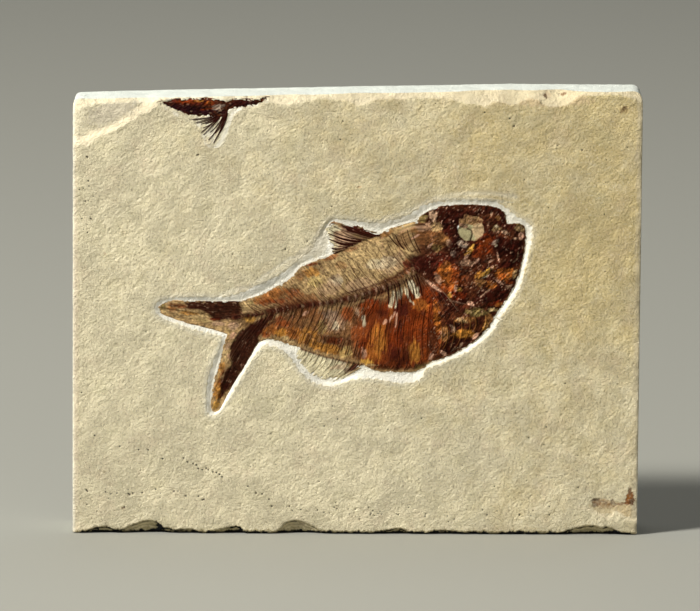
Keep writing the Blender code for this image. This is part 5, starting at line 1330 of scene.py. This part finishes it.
def fleckSkin(skin):
    # strokes of dark and pale bone, and flecks
    x, z, head, eye, lower, lay = skin.x, skin.z, skin.head, skin.eye, skin.lower, skin.lay
    onAnalFin = 0.5 * skin.offTrunk * rise(x, -22.0, -18.0) * rise(z, 62.0, 60.0)
    calm = (1 - 0.85 * lower - 0.5 * eye * (1 - lower)) * (1 - onAnalFin)
    smooth = 1 - skin.belly * 0.75
    gather = rise(hills(x, z, 4.2, 108), -0.25, 0.3)
    streaky = np.interp(x, [-34.0, -14.0], [0.4, 1.0])
    shade = 1 + (0.42 * skin.fine + (0.3 + 0.25 * skin.belly) * skin.broad) * calm * streaky
    shade *= 1 + (hills(x, z, 0.75, 110) * 0.8 + hills(x, z, 1.7, 113) * 0.5) * (1 - streaky)
    shade *= 1 + (skin.speck - 0.5) * (0.6 + 0.6 * head) * calm * smooth
    shade *= 1 + (skin.chip - 0.5) * (0.35 + 0.75 * head) * calm * smooth
    shade *= 1 + hills(x, z, 2.1, 109, headGrain, 1.6) * 0.4 * head * calm
    skin.colour *= boneLook["lift"] * np.clip(shade, 0.15, 2.6)[:, None]
    gap, mote = crumbs(skin.v / 2.2, skin.u, 0.31, 107)
    lay("black", rise(mote, 0.8, 0.9) * 0.6 * calm * rise(skin.trunk, -1.0, 1.0) * smooth)
    lay("buff", rise(mote, 0.1, 0.06) * 0.4 * calm * rise(gap, 0.03, 0.15) * smooth * (0.2 + 0.8 * gather))
    lay("pink", rise(skin.speck, 0.945, 0.975) * rise(skin.grit, 0.04, 0.2) * calm * (0.35 + 0.4 * head)
        * smooth * gather)


def fraySkin(skin):
    # the film's ragged edge dives under the stone
    x, z = skin.x, skin.z
    loose = 1 - rise(skin.trunk, -0.6, 0.2)
    firm = np.interp(x, tailReach, [0.12, 1.0])
    ragged = (hills(x, z, 0.9, 131) * 0.3 + hills(x, z, 0.4, 132) * 0.16) * firm
    edge = skin.inside + 0.1 + ragged + 0.55 * (1 - firm)
    torn = np.interp(x, [-34.0, -20.0, -15.0], [0.0, 0.25, 1.1])
    edge -= loose * rise(skin.fine + skin.broad * 0.5, -0.05, 0.35) * torn
    skin.depth = skin.depth + rise(edge, 0.3, -0.3) * 0.5


def fishSkin(x, z):
    # depth and colour of the whole fish's skin
    skin = skinPlaces(x, z)
    skin.colour = np.tile(np.array(linear(*palette["tan"])), (len(x), 1))
    skin.lay = painter(skin.colour)
    for stage in (addGrain, swellBody, paintBody, paintFins, paintSpine, makeEye, raisePlates,
                  fleckSkin, fraySkin):
        stage(skin)
    return skin.depth, skin.colour


def trunkOutline():
    shape = fishShape
    lines = [shape["headTop"], shape["nape"], shape["dorsalBase"], shape["rearBack"],
             [(-36.0, 74.7), (-38.5, 72.6), (-38.5, 67.6), (-31.0, 62.3)], shape["rearBelly"],
             shape["analBase"], shape["frontBelly"], shape["throat"]]
    return np.vstack([curveThrough(line, 3)[:-1] for line in lines])


headPlates = [
    ([(20.3, 89.3), (18.0, 84.3), (18.8, 77.3), (21.3, 71.3), (25.3, 68.8), (29.3, 72.3), (32.3, 78.3),
      (33.3, 84.3), (31.8, 89.8), (26.8, 91.4)], 0.16),
    ([(51.3, 84.8), (49.5, 80.1), (46.2, 76.8), (40.8, 73.5), (37.3, 72.9), (38.3, 76.3), (43.2, 79.3),
      (47.7, 84.3)], 0.2),
    ([(52.1, 96.8), (51.5, 90.3), (49.2, 86.9), (44.7, 84.9), (41.3, 88.3), (42.3, 93.3),
    (46.2, 97.8)], 0.14),
    ([(29.6, 78.1), (30.3, 75.5), (32.8, 74.9), (35.1, 76.5), (35.2, 78.5), (32.3, 79.5)], 0.14),
    ([(38.4, 82.7), (40.0, 82.9), (43.7, 85.9), (43.1, 86.9), (40.8, 85.7)], 0.16),
    ([(34.0, 88.9), (35.2, 88.7), (38.0, 92.5), (37.2, 93.9), (35.4, 91.9)], 0.16),
    ([(23.0, 101.0), (23.4, 104.2), (25.4, 104.8), (26.2, 103.2), (25.0, 100.4)], 0.14),
]


def buildSkin(name, rim, look, relief, rest, material):
    # a closed relief with a flat back; look gives its points' spacing and how deep the back lies
    places = scatter(rim.min(0), rim.max(0), look["pitch"], look["seed"])
    places = places[within(rim, *places.T) > look["clear"]]
    kept = {}

    def depthAt(x, z):
        depth, kept["colour"] = relief(x, z)
        return depth

    def wall(rim, depths):
        yield rim, np.full(len(rim), look["buried"])

    piece = closedPiece(name, rim, places, depthAt, wall, [])
    full = np.ones((len(kept["colour"]), 4))
    full[:, :3] = kept["colour"]
    keepColours(piece.data, "stain", full, (*linear(*palette[rest]), 1.0))
    piece.data.materials.append(material)
    return piece


def buildFishSkin(material):
    rim = evenly(fishLoop, fishShape["rimStep"], True)
    way = np.roll(rim, -1, 0) - np.roll(rim, 1, 0)
    outwards = np.stack([way[:, 1], -way[:, 0]], 1) / np.hypot(*way.T)[:, None]
    rim = evenly(rim + outwards * fishShape["margin"], fishShape["rimStep"], True)
    return buildSkin("fossilFishSkin", rim, fishShape, fishSkin, "matrix", material)


edgeStains = [
    (-51.6, 138.6, 9.0, 1.3, 0, "maroon", 0.9), (-53.6, 138.9, 4.5, 0.8, 0, "rust", 0.7),
    (-46.6, 138.4, 2.2, 0.9, 0, "rust", 0.7), (-46.4, 138.6, 1.2, 0.6, 0, "amber", 0.5),
    (-52.6, 136.3, 8.5, 1.5, -8, "plum", 1.0),
    (-49.6, 136.0, 7.0, 1.6, -4, "plum", 1.0), (-42.6, 135.6, 3.0, 1.2, -20, "plum", 0.9),
    (-48.2, 133.8, 5.0, 0.5, -6, "tan", 0.7),
    (-43.6, 137.2, 2.8, 0.9, 12, "grey", 0.9), (-42.8, 136.1, 1.6, 0.4, 30, "buff", 0.5),
    (-35.1, 138.4, 6.0, 1.2, 5, "plum", 0.8), (-37.2, 138.4, 2.4, 1.1, 0, "black", 0.8),
    (-59.6, 138.4, 3.0, 0.7, 15, "maroon", 0.9), (-54.6, 138.6, 2.0, 0.6, 5, "rust", 0.6),
    (-49.6, 139.1, 2.2, 0.4, 0, "honey", 0.5), (-46.6, 136.6, 2.6, 0.4, 8, "rust", 0.7),
]


edgeShape = {
    "rimStep": 0.28,         # spacing of the points round the second fish
    "pitch": 0.2,            # spacing of its skin's points
    "clear": 0.11,           # how far those points keep from its outline
    "seed": 82,
    "level": 0.52,           # depth of its skin at the edge
    "swell": 0.24,
    "buried": 1.25,          # depth of the skin's back
}


def topAt(x):
    return np.interp(x, *np.array(slabShape["top"]).T)


def edgeSkin(x, z):
    # depth and colour of the second fish's skin
    inside = within(edgeLoop, x, z)
    chip = crumbs(x, z, 1.1, 201)[1]
    speck = crumbs(x / 2.2, z, 0.36, 202)[1]
    fine = hills(x, z, 0.4, 203, 6, 8.0)
    body = rise(z, 133.2, 134.6)
    depth = edgeShape["level"] - edgeShape["swell"] * rise(inside, 0.0, 1.2) * body + 0.07 * fine
    depth += hills(x, z, 1.2, 204) * 0.07 + (chip - 0.5) * 0.16 * body + (speck - 0.5) * 0.06
    depth += 0.5 * rise(z - topAt(x), -1.2, 0.4)
    colour = np.tile(np.array(linear(*palette["umber"])), (len(x), 1))
    lay = painter(colour)
    ragged = hills(x, z, 1.1, 205) * 0.25 + (chip - 0.5) * 0.35
    layPatches(lay, edgeStains, x, z, ragged, soft=0.5)
    shade = 1 + 0.5 * fine + (speck - 0.5) * 1.1 + (chip - 0.5) * 1.1
    colour *= boneLook["lift"] * np.clip(shade, 0.2, 2.2)[:, None]
    lay("buff", rise(speck, 0.95, 0.98) * 0.3)
    edge = inside + 0.05 + hills(x, z, 0.9, 206) * 0.6 + hills(x, z, 0.4, 207) * 0.3
    depth = depth + rise(edge, 0.25, -0.3) * 0.4
    return depth, colour


def buildEdgeSkin(material):
    rim = evenly(edgeLoop, edgeShape["rimStep"], True)
    rim[:, 1] = np.minimum(rim[:, 1], topAt(rim[:, 0]) - 0.12)
    return buildSkin("edgeFishSkin", rim, edgeShape, edgeSkin, "umber", material)


boneFans = {                 # where each row of bones starts and ends, and what it is like
    "neuralSpines": {"root": [(18.8, 88.3), (15.3, 83.7), (9.9, 80.9), (2.9, 78.3), (-7.6, 75.5),
                              (-18.0, 74.1), (-31.0, 71.5)],
                     "tip": [(11.9, 97.6), (7.4, 94.6), (1.9, 91.5), (-5.1, 88.3), (-13.1, 84.8),
                             (-22.0, 80.8), (-36.0, 74.3)],
                     "count": 43, "radius": (0.19, 0.07), "bow": 0.05, "blend": 0.6, "tone": "umber"},
    "lowerSpines": {"root": [(8.4, 79.3), (2.9, 77.1), (-7.6, 74.3), (-18.0, 72.9), (-30.0, 70.7)],
                    "tip": [(2.4, 66.3), (-3.6, 65.3), (-12.1, 62.8), (-20.0, 63.8), (-33.0, 66.1)],
                    "count": 25, "radius": (0.19, 0.09), "bow": 0.05, "blend": 0.4, "tone": "umber"},
    "firstRibs": {"root": [(19.3, 84.1), (16.8, 83.1), (14.3, 81.6), (9.9, 79.9)],
                  "tip": [(21.3, 76.8), (18.4, 73.7), (15.1, 72.5), (10.2, 71.8)],
                  "count": 11, "radius": (0.26, 0.16), "bow": 0.04, "blend": 0.85, "tone": "pitch"},
    "bellyRibs": {"root": [(24.3, 74.3), (17.8, 70.3), (11.9, 68.8), (4.9, 66.8)],
                  "tip": [(23.8, 57.5), (18.3, 55.3), (11.9, 54.3), (4.9, 56.7)],
                  "count": 13, "radius": (0.2, 0.14), "bow": -0.03, "blend": 0.25, "tone": "maroon"},
    "finBearers": {"root": [(2.9, 62.3), (-5.1, 63.1), (-12.1, 64.3), (-19.5, 65.8)],
                   "tip": [(1.5, 56.3), (-6.6, 57.7), (-13.1, 59.7), (-21.5, 61.9)],
                   "count": 27, "radius": (0.15, 0.15), "bow": 0.02, "blend": 0.75, "tone": "umber"},
    "dorsalRays": {"root": [(7.5, 96.4), (4.3, 95.4), (1.3, 94.2), (-1.7, 92.8), (-4.7, 91.5)],
                   "tip": [(-4.1, 100.2), (-8.5, 98.8), (-9.3, 96.2), (-8.5, 93.1), (-8.9, 90.0)],
                   "count": 17, "radius": (0.25, 0.15), "bow": 0.05, "blend": 1.5, "tone": "pitch"},
    "analRays": {"root": [(2.1, 55.0), (-3.1, 56.3), (-9.6, 57.6), (-17.0, 59.8)],
                 "tip": [(-2.1, 51.9), (-8.1, 50.5), (-14.5, 52.3), (-18.6, 56.9)],
                 "count": 15, "radius": (0.2, 0.06), "bow": 0.06, "blend": 0.35, "tone": "umber"},
    "upperRays": {"root": [(-33.0, 74.1), (-33.5, 71.5), (-36.4, 68.5)],
                  "tip": [(-59.9, 74.3), (-61.7, 72.5), (-53.9, 68.9), (-42.0, 66.1)],
                  "count": 12, "radius": (0.13, 0.06), "bow": 0.03, "blend": 0.1, "tone": "umber"},
    "lowerRays": {"root": [(-29.6, 68.1), (-31.5, 68.7), (-35.6, 68.5)],
                  "tip": [(-43.5, 41.9), (-45.1, 42.4), (-44.1, 49.8), (-41.0, 60.6)],
                  "count": 12, "radius": (0.14, 0.06), "bow": -0.03, "blend": 0.1, "tone": "umber"},
    "throatBars": {"root": [(41.3, 70.8), (35.8, 69.8), (29.8, 68.3), (26.3, 66.8)],
                   "tip": [(38.3, 63.5), (33.3, 60.8), (28.8, 58.7), (25.3, 57.5)],
                   "count": 7, "radius": (0.3, 0.16), "bow": 0.1, "blend": 0.2, "tone": "honey"},
    "napeSpines": {"root": [(20.4, 91.0), (16.8, 91.5), (13.4, 93.0)],
                   "tip": [(17.0, 99.2), (13.3, 98.6), (9.5, 97.4)],
                   "count": 7, "radius": (0.22, 0.1), "bow": 0.05, "blend": 0.75, "tone": "pitch"},
    "shoulderRays": {"root": [(19.4, 83.9), (21.8, 82.9), (24.8, 81.3)],
                     "tip": [(27.3, 69.3), (30.3, 69.5), (33.8, 71.8)],
                     "count": 6, "radius": (0.15, 0.08), "bow": 0.04, "blend": 0.3, "tone": "buff"},
    "scutes": {"root": [(6.7, 55.1), (11.9, 54.5), (16.8, 54.7), (21.3, 55.9)],
               "tip": [(5.5, 52.9), (10.9, 52.5), (15.8, 52.7), (20.0, 53.5)],
               "count": 12, "radius": (0.42, 0.1), "bow": 0.0, "blend": 0.8, "tone": "umber"},
}
edgeFans = {
    "edgeFan": {"root": [(-40.5, 137.0), (-41.2, 136.0), (-42.2, 135.2), (-43.0, 134.8), (-43.6, 134.6)],
                "tip": [(-44.4, 125.4), (-46.2, 125.4), (-48.6, 127.8), (-51.0, 130.8), (-53.4, 133.6)],
                "count": 14, "radius": (0.27, 0.13), "bow": 0.03, "blend": 1.6, "tone": "pitch",
                "on": "stone"},
    "edgeSpines": {"root": [(-29.2, 139.8), (-40.6, 138.8), (-50.6, 138.7), (-60.6, 138.8)],
                   "tip": [(-33.1, 137.4), (-44.6, 136.8), (-54.6, 136.1), (-62.6, 138.2)],
                   "count": 16, "radius": (0.2, 0.12), "bow": 0.04, "blend": 0.4, "tone": "pitch"},
    "rightEnd": {"root": [(-28.6, 140.2), (-31.6, 139.4), (-34.6, 138.8)],
                 "tip": [(-27.0, 140.4), (-28.6, 138.8), (-32.1, 137.2)],
                 "count": 7, "radius": (0.22, 0.1), "bow": 0.05, "blend": 1.2, "tone": "umber",
                 "on": "stone"},
}


def boneFanTree():
    # Adds a row of thin bones to what it is given. Each runs from a place on one line to the same
    # share of another, and lies on the surface behind it.
    tree = bpy.data.node_groups.new("boneFan", "GeometryNodeTree")
    tree.interface.new_socket("Geometry", in_out="OUTPUT", socket_type="NodeSocketGeometry")
    tree.interface.new_socket("Geometry", in_out="INPUT", socket_type="NodeSocketGeometry")
    inputs = {"Root Line": "Object", "Tip Line": "Object", "Surface": "Object", "Count": "Int",
              "Points": "Int", "Sides": "Int", "Root Radius": "Float", "Tip Radius": "Float", "Bow": "Float",
              "Stray": "Float", "Blend": "Float", "Tone": "Color", "Seed": "Int", "Material": "Material"}
    keys = {}
    for name, kind in inputs.items():
        socket = tree.interface.new_socket(name, in_out="INPUT", socket_type="NodeSocket" + kind)
        keys[name] = socket.identifier
    board = Board(tree)
    given = board.node("NodeGroupInput")

    line = board.node("GeometryNodeCurvePrimitiveLine", {"mode": "POINTS"},
                      {"Start": (0, 0, 0), "End": (1, 0, 0)})
    line = board.node("GeometryNodeResampleCurve", {"mode": "COUNT"},
                      {"Curve": line, "Count": given.also("Points")})
    rows = board.node("GeometryNodeDuplicateElements", {"domain": "SPLINE"},
                      {"Geometry": line, "Amount": given.also("Count")})
    number = rows.also("Duplicate Index")

    def chance(low, high, shift):
        settings = {"data_type": "FLOAT"}
        seed = given.also("Seed") + shift
        inputs = {2: low, 3: high, "ID": number, "Seed": seed}
        return board.node("FunctionNodeRandomValue", settings, inputs, 1)

    share = (number + chance(-1.0, 1.0, 1.0) * given.also("Stray")) / (given.also("Count") - 1.0)
    run = board.node("GeometryNodeSplineParameter")

    def placeOn(name, factor):
        curve = board.node("GeometryNodeObjectInfo", {"transform_space": "ORIGINAL"},
                           {0: given.also(name)}, "Geometry")
        settings = {"mode": "FACTOR", "use_all_curves": False}
        inputs = {"Curves": curve, "Factor": factor}
        return board.node("GeometryNodeSampleCurve", settings, inputs, "Position")

    def vectors(operation, a, b):
        return board.node("ShaderNodeVectorMath", {"operation": operation}, {0: a, 1: b})

    root = placeOn("Root Line", share)
    tip = placeOn("Tip Line", share + chance(-1.0, 1.0, 2.0) * given.also("Stray") * 0.05)
    reach = vectors("SUBTRACT", tip, root)
    aside = vectors("CROSS_PRODUCT", reach, (0.0, 1.0, 0.0))
    bend = run * (1.0 - run) * 4.0 * (given.also("Bow") + chance(-0.03, 0.03, 3.0))
    length = 1.0 - chance(0.0, 0.36, 4.0)
    straight = board.node("ShaderNodeVectorMath", {"operation": "SCALE"}, {0: reach, "Scale": run * length})
    bowed = board.node("ShaderNodeVectorMath", {"operation": "SCALE"}, {0: aside, "Scale": bend})
    place = vectors("ADD", vectors("ADD", root, straight), bowed)
    flat = board.node("ShaderNodeSeparateXYZ", {}, {0: place})
    ahead = board.node("ShaderNodeCombineXYZ", {}, {0: flat, 1: faceY * mm * 2, 2: flat.also("Z")})

    surface = board.node("GeometryNodeObjectInfo", {"transform_space": "ORIGINAL"},
                         {0: given.also("Surface")}, "Geometry")
    stain = board.node("GeometryNodeInputNamedAttribute", {"data_type": "FLOAT_COLOR"}, {"Name": "stain"})
    hit = board.node("GeometryNodeRaycast", {"data_type": "FLOAT_COLOR", "mapping": "INTERPOLATED"},
                     {"Target Geometry": surface, "Attribute": stain, "Source Position": ahead,
                      "Ray Direction": (0.0, 1.0, 0.0), "Ray Length": 0.05}, "Hit Position")
    blend = given.also("Blend") * chance(0.3, 1.3, 6.0)
    toned = board.mixed(blend, hit.also("Attribute"), given.also("Tone"))
    painted = board.node("GeometryNodeStoreNamedAttribute", {"data_type": "FLOAT_COLOR", "domain": "POINT"},
                         {"Geometry": rows, "Name": "stain", "Value": toned})
    laid = board.node("GeometryNodeSetPosition", {}, {"Geometry": painted, "Position": hit})
    thick = given.also("Root Radius") + (given.also("Tip Radius") - given.also("Root Radius")) * run
    thick = thick * chance(0.55, 1.3, 5.0)
    ring = board.node("GeometryNodeCurvePrimitiveCircle", {"mode": "RADIUS"},
                      {"Resolution": given.also("Sides"), "Radius": 1.0})
    bones = board.node("GeometryNodeCurveToMesh", {},
                       {"Curve": laid, "Profile Curve": ring, "Scale": thick, "Fill Caps": True})
    smooth = board.node("GeometryNodeSetShadeSmooth", {}, {"Geometry": bones})
    joined = board.node("GeometryNodeJoinGeometry", {}, {0: smooth})
    tree.links.new(given.also("Geometry").socket, joined.socket.node.inputs[0])
    real = board.node("GeometryNodeRealizeInstances", {}, {"Geometry": joined})
    dressed = board.node("GeometryNodeSetMaterial", {},
                         {"Geometry": real, "Material": given.also("Material")})
    board.node("NodeGroupOutput", {}, {"Geometry": dressed})
    return tree, keys


def lineObject(name, points):
    curve = bpy.data.curves.new(name, "CURVE")
    curve.dimensions = "3D"
    places = curveThrough(points)
    spline = curve.splines.new("POLY")
    spline.points.add(len(places) - 1)
    flat = np.zeros((len(places), 4))
    flat[:, 0], flat[:, 1], flat[:, 2], flat[:, 3] = places[:, 0] * mm, faceY * mm, places[:, 1] * mm, 1.0
    spline.points.foreach_set("co", flat.ravel())
    thing = bpy.data.objects.new(name, curve)
    bpy.context.scene.collection.objects.link(thing)
    return thing


def buildBones(name, fans, surfaces, material, tree, keys):
    carrier = bpy.data.objects.new(name + "Plan", bpy.data.meshes.new(name + "Plan"))
    bpy.context.scene.collection.objects.link(carrier)
    helpers = [carrier]
    for seed, (fanName, fan) in enumerate(fans.items()):
        lines = [lineObject(fanName + end, fan[end]) for end in ("root", "tip")]
        helpers += lines
        modifier = carrier.modifiers.new(fanName, "NODES")
        modifier.node_group = tree
        surface = surfaces[fan.get("on", "skin")]
        values = {"Root Line": lines[0], "Tip Line": lines[1], "Surface": surface, "Count": fan["count"],
                  "Root Radius": fan["radius"][0] * mm, "Tip Radius": fan["radius"][1] * mm,
                  "Bow": fan["bow"], "Blend": fan["blend"], "Tone": (*linear(*palette[fan["tone"]]), 1.0),
                  "Points": 16, "Sides": 6, "Stray": 0.42, "Seed": 10 * seed, "Material": material}
        for key, value in values.items():
            modifier[keys[key]] = value
    bpy.context.view_layer.update()
    graph = bpy.context.evaluated_depsgraph_get()
    mesh = bpy.data.meshes.new_from_object(carrier.evaluated_get(graph), preserve_all_data_layers=True,
                                           depsgraph=graph)
    mesh.name = name
    for helper in helpers:
        bpy.data.objects.remove(helper)
    piece = bpy.data.objects.new(name, mesh)
    bpy.context.scene.collection.objects.link(piece)
    return piece


studio = {
    "aim": (-1.76, -10.0, 73.86), "distance": 2600.0, "elevation": 10.0, "roll": 0.2, "lens": 422.4,
    "floor": (146, 144, 132), "floorSize": 12.0,
    "air": (200, 206, 214), "airStrength": 0.16,
    "lamps": [               # place in metres, size, watts
        ((-1.84, -1.02, 1.96), 0.48, 140.0), ((0.1, 0.5, 1.6), 0.9, 6.0), ((0.9, -1.7, 0.9), 1.4, 3.5)],
}


def buildStudio():
    mesh = bpy.data.meshes.new("floor")
    half = studio["floorSize"] / 2
    corners = [(-half, -half, 0), (half, -half, 0), (half, half, 0), (-half, half, 0)]
    mesh.from_pydata(corners, [], [(0, 1, 2, 3)])
    floor = bpy.data.objects.new("floor", mesh)
    bpy.context.scene.collection.objects.link(floor)
    material, _, shader = newMaterial("floorPaper", 0.8)
    shader.inputs["Base Color"].default_value = (*linear(*studio["floor"]), 1.0)
    mesh.materials.append(material)
    aim = Vector(studio["aim"]) * mm
    tilt = math.radians(studio["elevation"])
    camera = bpy.data.objects.new("camera", bpy.data.cameras.new("camera"))
    bpy.context.scene.collection.objects.link(camera)
    camera.data.lens = studio["lens"]
    back = Vector((0.0, -math.cos(tilt), math.sin(tilt)))
    camera.location = aim + back * studio["distance"] * mm
    level = (-back).to_track_quat("-Z", "Y")
    roll = Quaternion((0.0, 0.0, 1.0), math.radians(studio["roll"]))
    camera.rotation_euler = (level @ roll).to_euler()
    bpy.context.scene.camera = camera
    for number, (place, size, watts) in enumerate(studio["lamps"]):
        light = bpy.data.lights.new(f"softbox{number}", "AREA")
        light.size = size
        light.energy = watts
        lamp = bpy.data.objects.new(light.name, light)
        bpy.context.scene.collection.objects.link(lamp)
        lamp.location = place
        lamp.rotation_euler = (aim - Vector(place)).to_track_quat("-Z", "Y").to_euler()
        lamp.visible_camera = False
    world = bpy.data.worlds.new("air")
    bpy.context.scene.world = world
    world.use_nodes = True
    background = world.node_tree.nodes["Background"]
    background.inputs["Color"].default_value = (*linear(*studio["air"]), 1.0)
    background.inputs["Strength"].default_value = studio["airStrength"]
    bpy.context.scene.view_settings.view_transform = "Standard"


def mount(piece, node, slot):
    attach(piece, "root")
    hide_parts(node)
    print(f"{piece.name}: {len(piece.data.loop_triangles)} triangles")


limestone = limestoneMaterial()
bone = boneMaterial()
slab = buildSlab(limestone)
print("slab built")
fish = buildFishSkin(bone)
print("fish skin built")
edge = buildEdgeSkin(bone)
tree, keys = boneFanTree()
fishBones = buildBones("fossilFishBones", boneFans, {"skin": fish}, bone, tree, keys)
edgeBones = buildBones("edgeFishBones", edgeFans, {"skin": edge, "stone": slab}, bone, tree, keys)
print("bones built")
buildStudio()
for piece, node, slotName in ((slab, "limestone_slab", "limestone"), (fish, "fossil_fish", "fossil_bone"),
                              (fishBones, "fossil_fish", "fossil_bone"), (edge, "edge_fish", "fossil_bone"),
                              (edgeBones, "edge_fish", "fossil_bone")):
    mount(piece, node, slotName)
